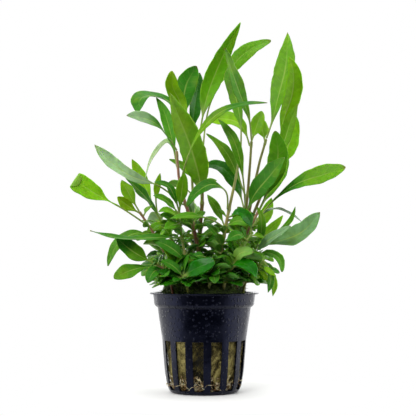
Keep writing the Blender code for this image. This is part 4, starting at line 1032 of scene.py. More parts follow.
@dataclass
class Plant:
    """The stalks, their leaves, and the bush of tiny leaves over the moss."""

    blade: "LeafBlade"
    skin: "StalkSkin"
    large: tuple[int, int] = (44, 12)
    small: tuple[int, int] = (16, 6)
    tiny: tuple[int, int] = (8, 2)
    tiny_each: int = 44
    tiny_low: int = 20
    tiny_zone: tuple[float, float] = (55.2, 88.0)
    tiny_length: tuple[float, float] = (6.5, 14.0)
    tiny_room: float = 0.35
    # Stalks whose tiny leaves are painted lighter, as if more light fell on them.
    sunlit: tuple[str, ...] = ("shoot_right_trailing", "shoot_left", "stem_left_outer", "shoot_right")

    def build(self) -> None:
        """Make every stalk and leaf, in the order in which the solids find room."""
        room = Room()
        draw = np.random.default_rng(11)
        for name, stalk in STALKS.items():
            room.take(smooth_path(stalk.path, STALK_STEPS + 1), name)
        tissue, bark = self.blade.material(), self.skin.material()
        for i, (name, leaf) in enumerate(LEAVES.items()):
            line = leaf.free_line(STALKS[leaf.stalk])
            drawn = leaf.surface(line, *self.large, 100 + i, STALKS[leaf.stalk].place(leaf.at))
            drawn.piece(name + "_blade", tissue, "leaf_tissue", name)
            room.take(leaf.samples(line, LARGE_SAMPLES), name)
        grown = self.small_leaves(room)
        for leaf in SMALL_LEAVES:
            if leaf.shown:
                for nearer in (2, 3.5, 5):
                    front = leaf.samples(leaf.grown_line(STALKS[leaf.stalk]), 12) - (0, nearer, 0)
                    room.take(front, "kept clear")
        joints = {name: [TOP_JOINT] for name in STALKS}
        for leaf in (*LEAVES.values(), *(leaf for pairs in grown.values() for _, leaf in pairs)):
            joints[leaf.stalk].append(leaf.at)
        for i, (name, stalk) in enumerate(STALKS.items()):
            stalk.surface(sorted(set(joints[name]))).piece(name + "_skin", bark, "stalk_tissue", name)
            leaves = [leaf.surface(line, *self.small, seed=300 + 40 * i + j)
                      for j, (line, leaf) in enumerate(grown[name])]
            leaves += [leaf.surface(leaf.grown_line(stalk), *self.small, seed=900 + j)
                       for j, leaf in enumerate(SLENDER_LEAVES) if leaf.stalk == name]
            leaves += self.tiny_leaves(name, stalk, room, draw)
            Surface.joined(leaves).piece(name + "_leaves", tissue, "leaf_tissue", name)

    def small_leaves(self, room: Room) -> dict[str, list[tuple[list[Array], Leaf]]]:
        """Lay out the small leaves set one by one, and then the pairs, each where it first fits.

        Args:
            room: What the large leaves and stalks fill, which the small ones are added to.

        Returns:
            The lines and leaves that grow on each stalk.
        """
        grown: dict[str, list[tuple[list[Array], Leaf]]] = {name: [] for name in STALKS}
        for leaf in SMALL_LEAVES:
            line = leaf.grown_line(STALKS[leaf.stalk])
            grown[leaf.stalk].append((line, leaf))
            room.take(leaf.samples(line, SMALL_SAMPLES), leaf.stalk + " leaf")
        for pairs in PAIRED:
            for ways in pairs.candidates(STALKS[pairs.stalk]):
                for line, leaf in ways:
                    samples = leaf.samples(line, SMALL_SAMPLES)
                    if room.fits(samples, pairs.stalk):
                        grown[pairs.stalk].append((line, leaf))
                        room.take(samples, pairs.stalk + " leaf")
                        break
        return grown

    def tiny_leaves(self, name: str, stalk: Stalk, room: Room, draw: np.random.Generator) -> list[Surface]:
        """Grow tiny leaves round the foot of a stalk, thickest near the moss, where they find room.

        Args:
            name: The stalk's name.
            stalk: The stalk.
            room: What stands already, which the tiny leaves are added to.
            draw: The random numbers.

        Returns:
            The leaves.
        """
        low, high = self.tiny_zone
        shares = np.linspace(0, 1, 200)
        heights = np.array([stalk.place(share)[2] for share in shares])
        shares = shares[(heights > low) & (heights < high)]
        made = []
        for i in range(self.tiny_each):
            lowest = i < self.tiny_low
            share = float(shares[int(len(shares) * draw.uniform() ** (7.0 if lowest else 1.8))])
            centre, axis = stalk.place(share), stalk.direction(share)
            side = across(axis, (1, 0.2, 0))
            for _ in range(12):
                bearing = draw.uniform(0, 2 * math.pi)
                out = math.cos(bearing) * side + math.sin(bearing) * np.cross(axis, side)
                length = draw.uniform(*self.tiny_length) * (1 - 0.3 * (centre[2] - low) / (high - low))
                rise = draw.uniform(0.02, 0.35 if lowest else 0.9)
                middle = centre + length * (0.5 * out + 0.55 * rise * axis)
                line = [centre, middle, centre + length * (0.95 * out + (rise - 0.12) * axis)]
                face = axis - 0.3 * out + draw.uniform(-0.8, 0.8) * np.cross(out, axis)
                # Painted shade and light: tiny leaves low in the bush take darker shades, and higher ones and
                # those on the sunlit stalks lighter ones.
                light = (centre[2] - low) / 28 + draw.uniform(-0.4, 0.6) + 0.4 * (name in self.sunlit)
                shade = (Shade.DEEP if light < 0.3 else Shade.FOREST if light < 0.6 else Shade.MEADOW
                         if light < 1.1 else Shade.FRESH)
                leaf = Leaf(name, share, (), length * draw.uniform(0.42, 0.58), tuple(face), petiole=0.16,
                            blunt=0.6, oval=draw.uniform() < 0.5, shade=shade)
                points = leaf.samples(line, TINY_SAMPLES)
                inside = ((points > room.box[0] + 1) & (points < room.box[1] - 1)).all()
                if inside and room.fits(points, name, self.tiny_room):
                    room.take(points, name + " tiny")
                    made.append(leaf.surface(line, *self.tiny, int(draw.integers(1 << 30)), wavy=0.0))
                    break
        return made


@dataclass
class Pot:
    """A slotted nursery pot: thin wall with windows at its foot, stepped collar, lip and slotted floor.

    profile pairs the outside with the inside, from the middle of the floor up, each as radius and height.
    """

    finish: "WetPolypropylene"
    pitch: float = 2 * math.pi / 14
    first_pillar: float = math.radians(4.4 - 90)
    window_rows: tuple[int, int] = (7, 13)
    window_heights: tuple[float, float] = (1.7, 26.2)
    window_widths: tuple[float, float] = (4.7, 5.7)
    slot_rows: tuple[int, int] = (2, 4)
    slot_width: float = 2.6
    columns: int = 14 * 12
    profile: tuple[tuple[float, float, float, float], ...] = (
        (1.5, 0, 1.5, 1.2), (5, 0, 5, 1.2), (8.5, 0, 8.5, 1.2), (11.4, 0, 11.4, 1.2), (14.3, 0, 14.3, 1.2),
        (15.9, 0.02, 15.2, 1.2), (17.0, 0.45, 15.8, 1.25), (17.95, 1.7, 16.3, 1.7), (18.45, 2.8, 17.2, 2.8),
        (18.9, 4.2, 18.0, 4.2), (19.9, 10.5, 19.0, 10.5), (20.6, 18.5, 19.7, 18.5), (21.1, 25.3, 20.2, 25.3),
        (21.17, 26.2, 20.27, 26.2), (21.35, 27.8, 20.45, 27.8), (22.0, 32.2, 21.1, 32.2),
        (22.8, 37.5, 21.9, 37.5), (23.5, 42.5, 22.6, 42.5), (24.5, 43.2, 23.6, 43.4),
        (25.2, 44.2, 24.3, 44.4), (25.4, 46.2, 24.5, 46.2), (25.75, 49.0, 24.8, 49.0),
    )
    lip: tuple[tuple[float, float], ...] = (
        (25.95, 49.18), (27.2, 49.2), (27.44, 49.3), (27.5, 49.55), (27.46, 49.85), (27.25, 50.0),
        (25.15, 50.0), (24.95, 49.9),
    )

    def build(self) -> None:
        """Make the pot in place of its solid."""
        made = self.surface().piece("pot_shell", self.finish.material(), "black_polypropylene", "pot")
        edges = made.modifiers.new("moulded_edges", "BEVEL")
        edges.width, edges.segments = 0.22 * MM, 2
        edges.limit_method, edges.angle_limit, edges.harden_normals = "ANGLE", math.radians(28), True

    def bearings(self, radius: Array, height: Array) -> Array:
        """Find each column's bearing in each row, so that columns run along the edges of every opening.

        Round the wall a window's edge stands asin(half its width / radius) from the window's middle. On the
        floor a slot's edge does the same, and the rows between pass evenly from one to the other.

        Args:
            radius: The rows' radii.
            height: The rows' heights.

        Returns:
            Bearings of shape (rows, columns).
        """
        column = np.arange(self.columns)
        width = np.interp(height, self.window_heights, self.window_widths)
        edge = np.arcsin(np.minimum(0.9, width / 2 / radius))
        middle = np.full_like(edge, self.pitch / 2)
        stops = np.stack((0 * edge, middle - edge, middle + edge, 2 * middle))
        wall = self.rows_through(column % 12, (0, 2, 10, 12), stops) + self.pitch * (column // 12)
        slot = np.arcsin(self.slot_width / 2 / np.maximum(radius, 8.5))
        centre = np.full_like(slot, -self.first_pillar - 3 * self.pitch)
        stops = np.stack((centre + slot - 2 * self.pitch, centre - slot, centre + slot,
                          centre - slot + 2 * self.pitch))
        turned = (column - 12) % 24
        floor = self.rows_through(turned, (-18, 1, 6, 25), stops) + 2 * self.pitch * ((column - 12) // 24)
        share = eased(radius, 14.5, 18.0)[:, None]
        return self.first_pillar + wall * share + (floor + self.pitch) * (1 - share)

    @staticmethod
    def rows_through(column: Array, marks: Sequence[int], stops: Array) -> Array:
        """Spread columns evenly between marked ones, in each row.

        Args:
            column: The columns.
            marks: The marked columns.
            stops: Where the marked columns stand, of shape (marks, rows).

        Returns:
            Where every column stands, of shape (rows, columns).
        """
        i = np.clip(np.searchsorted(marks, column, side="right") - 1, 0, len(marks) - 2)
        low, high = np.array(marks)[i], np.array(marks)[i + 1]
        share = (column - low) / (high - low)
        return stops[i].T * (1 - share) + stops[i + 1].T * share

    def surface(self) -> Surface:
        """Turn the profile round the axis, leave out the openings and wall their edges.

        Row i is ring i of the closed profile outside, lip, inside, and column j a bearing. A cell that lies
        in an opening is dropped outside and inside, and each side of it becomes a wall between the two.

        Returns:
            The pot's surface.
        """
        profile = np.array(self.profile)
        count, columns = len(profile), self.columns
        ring = np.vstack((profile[:, :2], self.lip, profile[::-1, 2:]))
        bearing = self.bearings(ring[:, 0], ring[:, 1])
        radius, height = ring[:, :1], np.broadcast_to(ring[:, 1:], bearing.shape)
        points = round_axis(bearing, radius, height).reshape(-1, 3)
        row, column = np.meshgrid(np.arange(len(ring) - 1), np.arange(columns), indexing="ij")
        outer = np.where(row < count - 1, row, len(ring) - 2 - row)
        in_wall = (outer >= self.window_rows[0]) & (outer < self.window_rows[1]) & (column % 12 >= 2) & (
            column % 12 < 10)
        in_floor = (outer >= self.slot_rows[0]) & (outer < self.slot_rows[1]) & ((column - 12) % 24 >= 1) & (
            (column - 12) % 24 < 6)
        kept = ~(in_wall | in_floor)
        onward = (column + 1) % columns
        cells = np.stack((row * columns + column, row * columns + onward, (row + 1) * columns + onward,
                          (row + 1) * columns + column), axis=-1)
        quads = [cells[kept]]
        inside = (len(ring) - 1 - np.arange(len(ring))) * columns
        shell = kept[: count - 1]
        below, above = shell[:-1], shell[1:]
        for found, flip in ((below & ~above, False), (~below & above, True)):
            i, j = np.nonzero(found)
            i, k = i + 1, (j + 1) % columns
            wall = np.stack((i * columns + j, i * columns + k, inside[i] + k, inside[i] + j), axis=-1)
            quads.append(wall[:, ::-1] if flip else wall)
        left = np.roll(shell, 1, axis=1)
        for found, flip in ((left & ~shell, False), (~left & shell, True)):
            i, j = np.nonzero(found)
            next_row = (i + 1) * columns + j
            wall = np.stack((i * columns + j, inside[i] + j, inside[i + 1] + j, next_row), axis=-1)
            quads.append(wall[:, ::-1] if flip else wall)
        points = np.vstack((points, (0, 0, 0), (0, 0, profile[0, 3])))
        j = np.arange(columns)
        k, last, pole = (j + 1) % columns, (len(ring) - 1) * columns, len(points) - 2
        fans = np.vstack((np.stack((k, j, np.full_like(j, pole)), axis=1),
                          np.stack((last + j, last + k, np.full_like(j, pole + 1)), axis=1)))
        return Surface(points, np.vstack(quads), fans)


def lathed(profile: Sequence[tuple[float, float]], rows: int, columns: int) -> tuple[Array, Array, Array]:
    """Lay a grid on a turned form: rows at even steps along its profile, columns at even bearings.

    Args:
        profile: Radius and height along the form, off the axis at both ends.
        rows: How many rows.
        columns: How many columns.

    Returns:
        Bearing, radius and height, each of shape (rows, columns).
    """
    outline = np.array(profile, float)
    run = distances(outline)
    step = np.linspace(0, run[-1], rows)
    radius, height = (np.interp(step, run, outline[:, k])[:, None] for k in range(2))
    theta = np.linspace(0, 2 * math.pi, columns, endpoint=False)[None]
    shape = (rows, columns)
    return np.broadcast_to(theta, shape), np.broadcast_to(radius, shape), np.broadcast_to(height, shape)


@dataclass
class Plug:
    """The plug of mineral wool that fills the pot: tufts with hollows between, loose fibres, and roots."""

    finish: "MineralWool"
    root_finish: "RootSkin"
    profile: tuple[tuple[float, float], ...] = (
        (0.8, 1.7), (14.6, 1.7), (16.0, 2.5), (17.0, 4.8), (18.6, 10.5), (20.05, 26.0), (20.4, 30.0),
        (20.8, 40.0), (18.0, 45.9), (0.8, 45.9))
    hollow: float = 2.5
    # The wool is pressed deeper at the front, which its finish paints darker, as painted shade.
    front_deepening: float = 0.6
    front_deepening_bearing: float = math.radians(-99)
    front_deepening_spread: float = math.radians(11)
    fibres: int = 1500
    roots: int = 170
    roots_out: int = 26

    def build(self) -> None:
        """Make the wool, its fibres and the roots, in place of the plug's solid."""
        wool = self.finish.material()
        self.wool().piece("wool_tufts", wool, "mineral_wool", "wool_plug")
        self.loose_fibres().piece("wool_fibres", wool, "mineral_wool")
        self.root_threads().piece("fine_roots", self.root_finish.material(), "mineral_wool")

    def depth(self, theta: Array, height: Array) -> Array:
        """Work out how far the wool is pressed in, from 0 on a tuft to 1 in a hollow.

        Creases stand where a slow wave passes through nothing, 1 - |wave| raised to a power, and finer tufts
        lie over them. The foot is worn away here and there, where the roots have come through. The wool's
        finish
        paints this depth as shade: the deeper, the darker.

        Args:
            theta: Bearings.
            height: Heights.

        Returns:
            The depth, as a share of the deepest hollow.
        """
        crease = np.clip(1 - 1.9 * np.abs(swell(theta, height, 3, 18, 12)), 0, 1) ** 1.6
        tuft = 0.5 + 0.5 * swell(theta, height, 5, 40, 60)
        # A deeper stretch at the front, which the finish draws darker as painted shade.
        around = (theta - self.front_deepening_bearing + math.pi) % (2 * math.pi) - math.pi
        front_deepening = self.front_deepening * np.exp(-((around / self.front_deepening_spread) ** 2))
        worn = (1 - eased(height, 2.8, 7.5)) * (0.8 + 0.5 * swell(theta, 0 * height, 9))
        return np.clip(0.75 * crease + 0.4 * tuft * (1 - crease) + front_deepening + worn, 0, 1)

    def outside(self, height: Array) -> Array:
        """Find the wool's radius at a height behind the windows, but for its tufts."""
        outline = np.array(self.profile[2:6])
        return np.interp(height, outline[:, 1], outline[:, 0])

    def wool(self) -> Surface:
        """Turn the plug's form, each point drawn in by its depth, less where the wool is level on top.

        Returns:
            The surface, with its depth.
        """
        theta, radius, height = lathed(self.profile, 240, 410)
        side = eased(height, 1.75, 3.5) * (1 - eased(height, 42.0, 45.5))
        depth = self.depth(theta, height)
        skin = looped(round_axis(theta, radius - self.hollow * depth * side, height)[None])
        skin.values["depth"] = at_points(depth[None])
        return skin

    def loose_fibres(self) -> Surface:
        """Lay short fibres over the wool where the windows show it, each an arc that lifts off at its ends.

        Along t from -1 to 1 a fibre's bearing and height change evenly along its lie, and its radius is the
        wool's there and a little more, rising with t squared.

        Returns:
            The fibres, with their depth.
        """
        draw = np.random.default_rng(21)
        count = self.fibres
        t = np.linspace(-1, 1, 6)[None]
        theta, height = draw.uniform(0, 2 * math.pi, (count, 1)), draw.uniform(2.6, 26.5, (count, 1))
        lie = draw.normal(math.pi / 2, 0.6, (count, 1))
        half = draw.uniform(1.0, 3.2, (count, 1))
        bearing = theta + t * half * np.cos(lie) / 18 + 0.02 * np.sin(4 * t + theta)
        up = np.clip(height + t * half * np.sin(lie), 2.2, 28)
        depth = self.depth(bearing, up)
        radius = self.outside(up) - 0.75 * self.hollow * depth + 0.1
        radius = radius + draw.uniform(0.05, 0.5, (count, 1)) * t**2
        thick = draw.uniform(0.05, 0.11, (count, 1)) * (1 - 0.7 * np.abs(t))
        skin = tubes(round_axis(bearing, radius, up), thick, 3)
        # Over hollows the fibres take half the wool's depth, so the finish paints them darker there, as
        # painted shade.
        skin.values["depth"] = at_points(np.broadcast_to((0.5 * depth)[..., None], (*depth.shape, 3)))
        return skin

    def root_threads(self) -> Surface:
        """Let cream roots wander down the wool behind the lower windows and out past the foot here and there.

        Along t from 0 to 1 a root falls from its start, its bearing sways by sines of random phase, and its
        radius keeps close over the wool.

        Returns:
            The roots.
        """
        draw = np.random.default_rng(8)
        count = self.roots
        t = np.linspace(0, 1, 28)[None]
        front = draw.uniform(size=(count, 1)) < 0.65
        before, anywhere = draw.uniform(-2.9, -0.3, (count, 1)), draw.uniform(0, 2 * math.pi, (count, 1))
        theta = np.where(front, before, anywhere)
        top, fall = draw.uniform(2.6, 9.5, (count, 1)), draw.uniform(0.5, 7.0, (count, 1))
        phase = draw.uniform(0, 6.3, (count, 3))[:, :, None]
        lowest = 2.3 + 0.5 * np.sin(9 * t + phase[:, 2])
        up = np.maximum(top - fall * t + 0.5 * np.sin(6 * t + phase[:, 1]), lowest)
        wander = draw.uniform(-0.4, 0.4, (count, 1)) * t
        bearing = theta + wander + 0.02 * np.sin(9 * t + phase[:, 0])
        radius = self.outside(up) + draw.uniform(-0.8, 0.5, (count, 1)) + 0.4 * np.sin(8 * t + phase[:, 2])
        thick = draw.uniform(0.1, 0.24, (count, 1)) * (1 - 0.6 * t)
        return Surface.joined([tubes(round_axis(bearing, radius, up), thick, 6), self.roots_outside(draw, t)])

    def roots_outside(self, draw: np.random.Generator, t: Array) -> Surface:
        """Let a few roots out through the windows and along the pot's foot.

        A root starts in the middle of a window, a little inside the wall, is out past it by a quarter of its
        length, and then lies close over the pillars.

        Args:
            draw: The random numbers.
            t: From 0 to 1 along a root.

        Returns:
            The roots.
        """
        count = self.roots_out
        window = draw.integers(0, 14, (count, 1)) + 0.5 + draw.uniform(-0.2, 0.2, (count, 1))
        theta = Pot.first_pillar + Pot.pitch * window
        bearing = theta + draw.uniform(-0.42, 0.42, (count, 1)) * t + 0.02 * np.sin(
            9 * t + draw.uniform(0, 6.3, (count, 1)))
        up = np.maximum(draw.uniform(3.0, 7.5, (count, 1)) - draw.uniform(0.3, 3.5, (count, 1)) * t, 2.4)
        up = up + 0.35 * np.sin(7 * t + draw.uniform(0, 6.3, (count, 1)))
        skin = np.interp(up, (1.7, 2.8, 4.2, 10.5), (17.95, 18.45, 18.9, 19.9))
        radius = skin + 0.25 - 1.6 * (1 - eased(t, 0.0, 0.25))
        thick = draw.uniform(0.09, 0.17, (count, 1)) * (1 - 0.6 * t)
        return tubes(round_axis(bearing, radius, up), thick, 6)


@dataclass
class Moss:
    """The mat of dark moss on the plug: a lumpy cushion all over short fronds, and the stubs of cut stems."""

    finish: "MossFrond"
    stub_finish: "StalkSkin"
    profile: tuple[tuple[float, float], ...] = (
        (0.8, 46.5), (17.8, 46.5), (19.4, 48.0), (20.0, 50.8), (19.2, 53.2), (16.8, 54.9), (9.0, 55.3),
        (0.8, 55.3))
    swell_height: float = 0.7
    fronds: int = 4600
    stubs: tuple[tuple[float, float, float, float, float], ...] = (
        (-2.6, -15.0, -0.2, 0.6, 4.0), (12.0, -12.0, 0.5, 0.7, 5.0))

    def build(self) -> None:
        """Make the cushion with its fronds, and the stubs, in place of the mat's solid."""
        moss = self.finish.material()
        self.cushion().piece("moss_cushion", moss, "moss", "moss_mat")
        self.frond_tufts().piece("moss_fronds", moss, "moss")
        self.cut_stubs().piece("cut_stubs", self.stub_finish.material(), "stalk_tissue")

    def lift(self, theta: Array, radius: Array) -> Array:
        """Work out the cushion's swells, five lobes and finer lumps, less towards its middle."""
        return self.swell_height * np.sin(5 * theta) * radius / LIP_RADIUS + 0.5 * swell(theta, radius, 31)

    def cushion(self) -> Surface:
        """Turn the mat's form with its swells.

        Returns:
            The surface, with its light.
        """
        theta, radius, height = lathed(self.profile, 90, 220)
        lumps = swell(theta, height + radius, 33, 40, 70)
        height = height + self.lift(theta, radius) * eased(height, 47, 51)
        skin = looped(round_axis(theta, radius - 0.5 + 0.35 * lumps * eased(radius, 2, 8), height)[None])
        # Painted light and shade: swells that stand out are drawn lighter, dips darker.
        skin.values["light"] = at_points((0.25 + 0.15 * lumps)[None])
        return skin

    def frond_tufts(self) -> Surface:
        """Stand short fronds all over the cushion: each an arc that leans out and droops, drawn to a point.

        Returns:
            The fronds, with their light, which rises to their tips.
        """
        draw = np.random.default_rng(41)
        count = self.fronds
        outline = np.array(self.profile[2:])
        run = distances(outline)
        at = run[-1] * (1 - np.sqrt(draw.uniform(0.0, 1.0, (count, 1))))
        radius, height = np.interp(at, run, outline[:, 0]), np.interp(at, run, outline[:, 1])
        theta = draw.uniform(0, 2 * math.pi, (count, 1))
        height = height + self.lift(theta, radius) * eased(height, 47, 51)
        foot, out = round_axis(theta, radius, height - 0.4)[:, 0], round_axis(theta, 1.0, 0 * theta)[:, 0]
        steep = 1 - eased(radius, 12, 19)
        lean = unit(out * (1 - 0.8 * steep) + (0, 0, 1) * (0.35 + steep) + draw.normal(0, 0.55, (count, 3)))
        bend = draw.normal(0, 0.5, (count, 3)) - (0, 0, 0.25)
        length = draw.uniform(0.9, 2.3, (count, 1))
        t = np.linspace(0, 0.85, 3)
        paths = foot[:, None] + length[..., None] * (
            t[None, :, None] * lean[:, None] + (t**2)[None, :, None] * bend[:, None] * 0.5)
        thick = draw.uniform(0.10, 0.2, (count, 1)) * (1 - 0.6 * t)[None]
        skin = tubes(paths, thick, 3)
        # Painted light and shade: each frond is darker at its foot, down in the mat, and lighter towards its
        # tip.
        shade = draw.uniform(0.0, 0.6, (count, 1, 1)) + 0.4 * t[None, :, None]
        skin.values["light"] = at_points(np.broadcast_to(shade, (count, 3, 3)))
        return skin

    def cut_stubs(self) -> Surface:
        """Stand pale stubs of cut stems in the moss: short tapered tubes with a level cut.

        Returns:
            The stubs, with their colours.
        """
        foot = np.array([(x, y, MOSS_TOP - 4.0) for x, y, _, _, _ in self.stubs])
        lean = unit(np.array([(lean, -0.25, 1.0) for _, _, lean, _, _ in self.stubs]))
        length = np.array([length + 3.4 for *_, length in self.stubs])[:, None, None]
        t = np.linspace(0, 1, 9)
        paths = foot[:, None] + length * t[None, :, None] * lean[:, None]
        radii = np.array([radius for *_, radius, _ in self.stubs])[:, None] * (1 - 0.25 * t)[None]
        radii[:, -1] *= 0.82
        skin = tubes(paths, radii, 14)
        tint = np.array(linear("#7f8f4e")) * (1 - t[:, None]) + np.array(linear("#c3c890")) * t[:, None]
        skin.values["tint"] = at_points(np.broadcast_to(tint[None, :, None], (len(self.stubs), 9, 14, 3)))
        return skin


def node(tree: bpy.types.NodeTree, kind: str, links: dict | tuple = (), outlet: int | str = 0,
         **settings: object) -> bpy.types.NodeSocket:
    """Add a node with its settings and links.

    Args:
        tree: The material's nodes.
        kind: The node's type, without its ShaderNode.
        links: What its inputs take, as wire has it.
        outlet: Which of its outputs is wanted.
        **settings: The node's own settings.

    Returns:
        That output.
    """
    made = tree.nodes.new("ShaderNode" + kind)
    for name, value in settings.items():
        setattr(made, name, value)
    wire(tree, made, links)
    return made.outputs[outlet]


def wire(tree: bpy.types.NodeTree, target: bpy.types.Node, links: dict | tuple) -> None:
    """Link or set a node's inputs.

    Args:
        tree: The material's nodes.
        target: The node.
        links: What its inputs take, in order, or by name or number: an outlet of another node, a hex colour
            or a value.
    """
    for key, value in (links if isinstance(links, dict) else dict(enumerate(links))).items():
        if isinstance(value, bpy.types.NodeSocket):
            tree.links.new(value, target.inputs[key])
        else:
            target.inputs[key].default_value = (*linear(value), 1.0) if isinstance(value, str) else value


def blank(name: str) -> tuple[bpy.types.Material, bpy.types.NodeTree, bpy.types.Node]:
    """Start a material.

    Args:
        name: Its name.

    Returns:
        The material, its nodes and its shader.
    """
    made = bpy.data.materials.new(name)
    made.use_nodes = True
    return made, made.node_tree, made.node_tree.nodes["Principled BSDF"]


@dataclass(frozen=True)
class LeafBlade:
    """Living leaf of a water plant grown in air: thin, a little glossy, and light comes through it.

    The eye sees a pale rib and faint side veins, a greyer under side, patches of yellower green, and a brown
    tip and edge here and there.
    """

    rib: str = "#b2c860"
    under: str = "#86a866"
    yellow: str = "#96b414"
    blue: str = "#2f7d30"
    brown: str = "#7a5c2c"
    patch_size: float = 14.0
    mottle_size: float = 2.5
    vein_pairs: float = 10.0
    through: float = 0.85
    roughness: float = 0.42

    def material(self) -> bpy.types.Material:
        """Wire the material up. Veins follow the blade's own uv, and patches its place.

        Returns:
            The material.
        """
        made, tree, shader = blank("leaf_blade")
        where = node(tree, "TexCoord", outlet="Object")
        spot = node(tree, "SeparateXYZ", (node(tree, "UVMap", uv_map="blade"),)).node.outputs
        edge = node(tree, "Math", (spot[0], 2.0, -1.0), operation="MULTIPLY_ADD")
        edge = node(tree, "Math", (edge,), operation="ABSOLUTE")
        colour = node(tree, "Attribute", outlet="Color", attribute_name="tint")
        upper = node(tree, "Attribute", outlet="Fac", attribute_name="upper")
        gloss = node(tree, "Attribute", outlet="Fac", attribute_name="gloss")
        # Patches turn yellower or bluer, and finer mottling turns lighter or darker.
        patch = node(tree, "TexNoise", {"Vector": where, "Scale": 1 / (self.patch_size * MM)})
        yellower = node(tree, "MapRange", (patch, 0.52, 0.75, 0.0, 0.3), **SMOOTH)
        plain = node(tree, "MapRange", (gloss, 0.0, 1.0, 1.0, 0.1))
        yellower = node(tree, "Math", (yellower, plain), operation="MULTIPLY")
        colour = node(tree, "Mix", {0: yellower, 6: colour, 7: self.yellow}, **COLOURS)
        bluer = node(tree, "MapRange", (patch, 0.46, 0.28, 0.0, 0.1), **SMOOTH)
        colour = node(tree, "Mix", {0: bluer, 6: colour, 7: self.blue}, **COLOURS)
        mottle = node(tree, "TexNoise", {"Vector": where, "Scale": 1 / (self.mottle_size * MM), "Detail": 3.0,
                                         "Roughness": 0.6})
        shade = node(tree, "MapRange", (mottle, 0.3, 0.7, 0.88, 1.12), **SMOOTH)
        shade = node(tree, "CombineXYZ", (shade, shade, shade))
        colour = node(tree, "Mix", {0: 1.0, 6: colour, 7: shade}, blend_type="MULTIPLY", **COLOURS)
        beneath = node(tree, "MapRange", (upper, 0.5, 0.1, 0.0, 0.3), **SMOOTH)
        colour = node(tree, "Mix", {0: beneath, 6: colour, 7: self.under}, **COLOURS)
        # Side veins lean forward from the rib to the edge, about 5 mm apart, and fade on the way.
        order = node(tree, "Math", (spot[1], self.vein_pairs), operation="MULTIPLY")
        order = node(tree, "Math", (edge, -0.85, order), operation="MULTIPLY_ADD")
        order = node(tree, "Math", (order, 0.5), operation="PINGPONG")
        vein = node(tree, "MapRange", (order, 0.1, 0.015), **SMOOTH)
        fading = node(tree, "MapRange", (edge, 1.0, 0.4), **SMOOTH)
        vein = node(tree, "Math", (vein, fading), operation="MULTIPLY")
        rib = node(tree, "MapRange", (edge, 0.1, 0.03, 0.0, 0.55), **SMOOTH)
        fading = node(tree, "MapRange", (spot[1], 1.0, 0.5), **SMOOTH)
        rib = node(tree, "Math", (rib, fading), operation="MULTIPLY")
        pale = node(tree, "Math", (vein, 0.1), operation="MULTIPLY")
        pale = node(tree, "Math", (pale, rib), operation="MAXIMUM")
        pale = node(tree, "Math", (pale, plain), operation="MULTIPLY")
        colour = node(tree, "Mix", {0: pale, 6: colour, 7: self.rib}, **COLOURS)
        # Edges dry first: a brown line that comes and goes, and a brown tip.
        worn = node(tree, "TexNoise", {"Vector": where, "Scale": 1 / (5 * MM), "Detail": 0.0})
        dry = node(tree, "Math", (node(tree, "MapRange", (edge, 0.92, 1.0), **SMOOTH),
                                  node(tree, "MapRange", (worn, 0.56, 0.7), **SMOOTH)), operation="MULTIPLY")
        tip = node(tree, "Math", (node(tree, "MapRange", (spot[1], 0.96, 1.0), **SMOOTH),
                                  node(tree, "MapRange", (worn, 0.35, 0.6, 0.3, 1.0), **SMOOTH)),
                   operation="MULTIPLY")
        brown = node(tree, "Math", (node(tree, "Math", (dry, tip), operation="MAXIMUM"), 0.7),
                     operation="MULTIPLY")
        colour = node(tree, "Mix", {0: brown, 6: colour, 7: self.brown}, **COLOURS)
        smooth, dull = self.roughness - 0.06, self.roughness + 0.1
        rough = node(tree, "MapRange", (mottle, 0.3, 0.7, smooth, dull), **SMOOTH)
        rough = node(tree, "Math", (gloss, -0.2, rough), operation="MULTIPLY_ADD")
        ripple = node(tree, "TexNoise", {"Vector": where, "Scale": 1 / (1.6 * MM)})
        ripple = node(tree, "Math", (ripple, 0.8), operation="MULTIPLY")
        raised = node(tree, "Math", (vein, -0.5, ripple), operation="MULTIPLY_ADD")
        bump = node(tree, "Bump", {"Height": raised, "Strength": 0.35, "Distance": 0.16 * MM})
        wire(tree, shader, {
            "Base Color": colour, "Roughness": rough, "Normal": bump, "IOR": 1.42, "Specular IOR Level": 0.22,
            "Subsurface Weight": self.through, "Subsurface Radius": (0.19, 0.25, 0.1),
            "Subsurface Scale": 1.0 * MM})
        return made


@dataclass(frozen=True)
class StalkSkin:
    """Green stem of a young plant: smooth and waxy, with faint lengthwise streaks and blotches of green."""

    blotch: str = "#7a8f3c"
    roughness: float = 0.42

    def material(self) -> bpy.types.Material:
        """Wire the material up over the stalk's own tint.

        Returns:
            The material.
        """
        made, tree, shader = blank("stalk_skin")
        where = node(tree, "TexCoord", outlet="Object")
        colour = node(tree, "Attribute", outlet="Color", attribute_name="tint")
        # Streaks are 0.5 mm across and eight times as long.
        drawn = node(tree, "Mapping", {"Vector": where, "Scale": (1.0, 1.0, 0.12)})
        streak = node(tree, "TexNoise", {"Vector": drawn, "Scale": 1 / (0.5 * MM)})
        shade = node(tree, "MapRange", (streak, 0.3, 0.7, 0.75, 1.22), **SMOOTH)
        shade = node(tree, "CombineXYZ", (shade, shade, shade))
        colour = node(tree, "Mix", {0: 1.0, 6: colour, 7: shade}, blend_type="MULTIPLY", **COLOURS)
        blotches = node(tree, "TexNoise", {"Vector": where, "Scale": 1 / (5 * MM)})
        blotches = node(tree, "MapRange", (blotches, 0.5, 0.7, 0.0, 0.35), **SMOOTH)
        colour = node(tree, "Mix", {0: blotches, 6: colour, 7: self.blotch}, **COLOURS)
        bump = node(tree, "Bump", {"Height": streak, "Strength": 0.5, "Distance": 0.1 * MM})
        wire(tree, shader, {
            "Base Color": colour, "Roughness": self.roughness, "Normal": bump, "IOR": 1.42,
            "Subsurface Weight": 0.35, "Subsurface Radius": (1.0, 0.8, 0.3), "Subsurface Scale": 0.8 * MM})
        return made


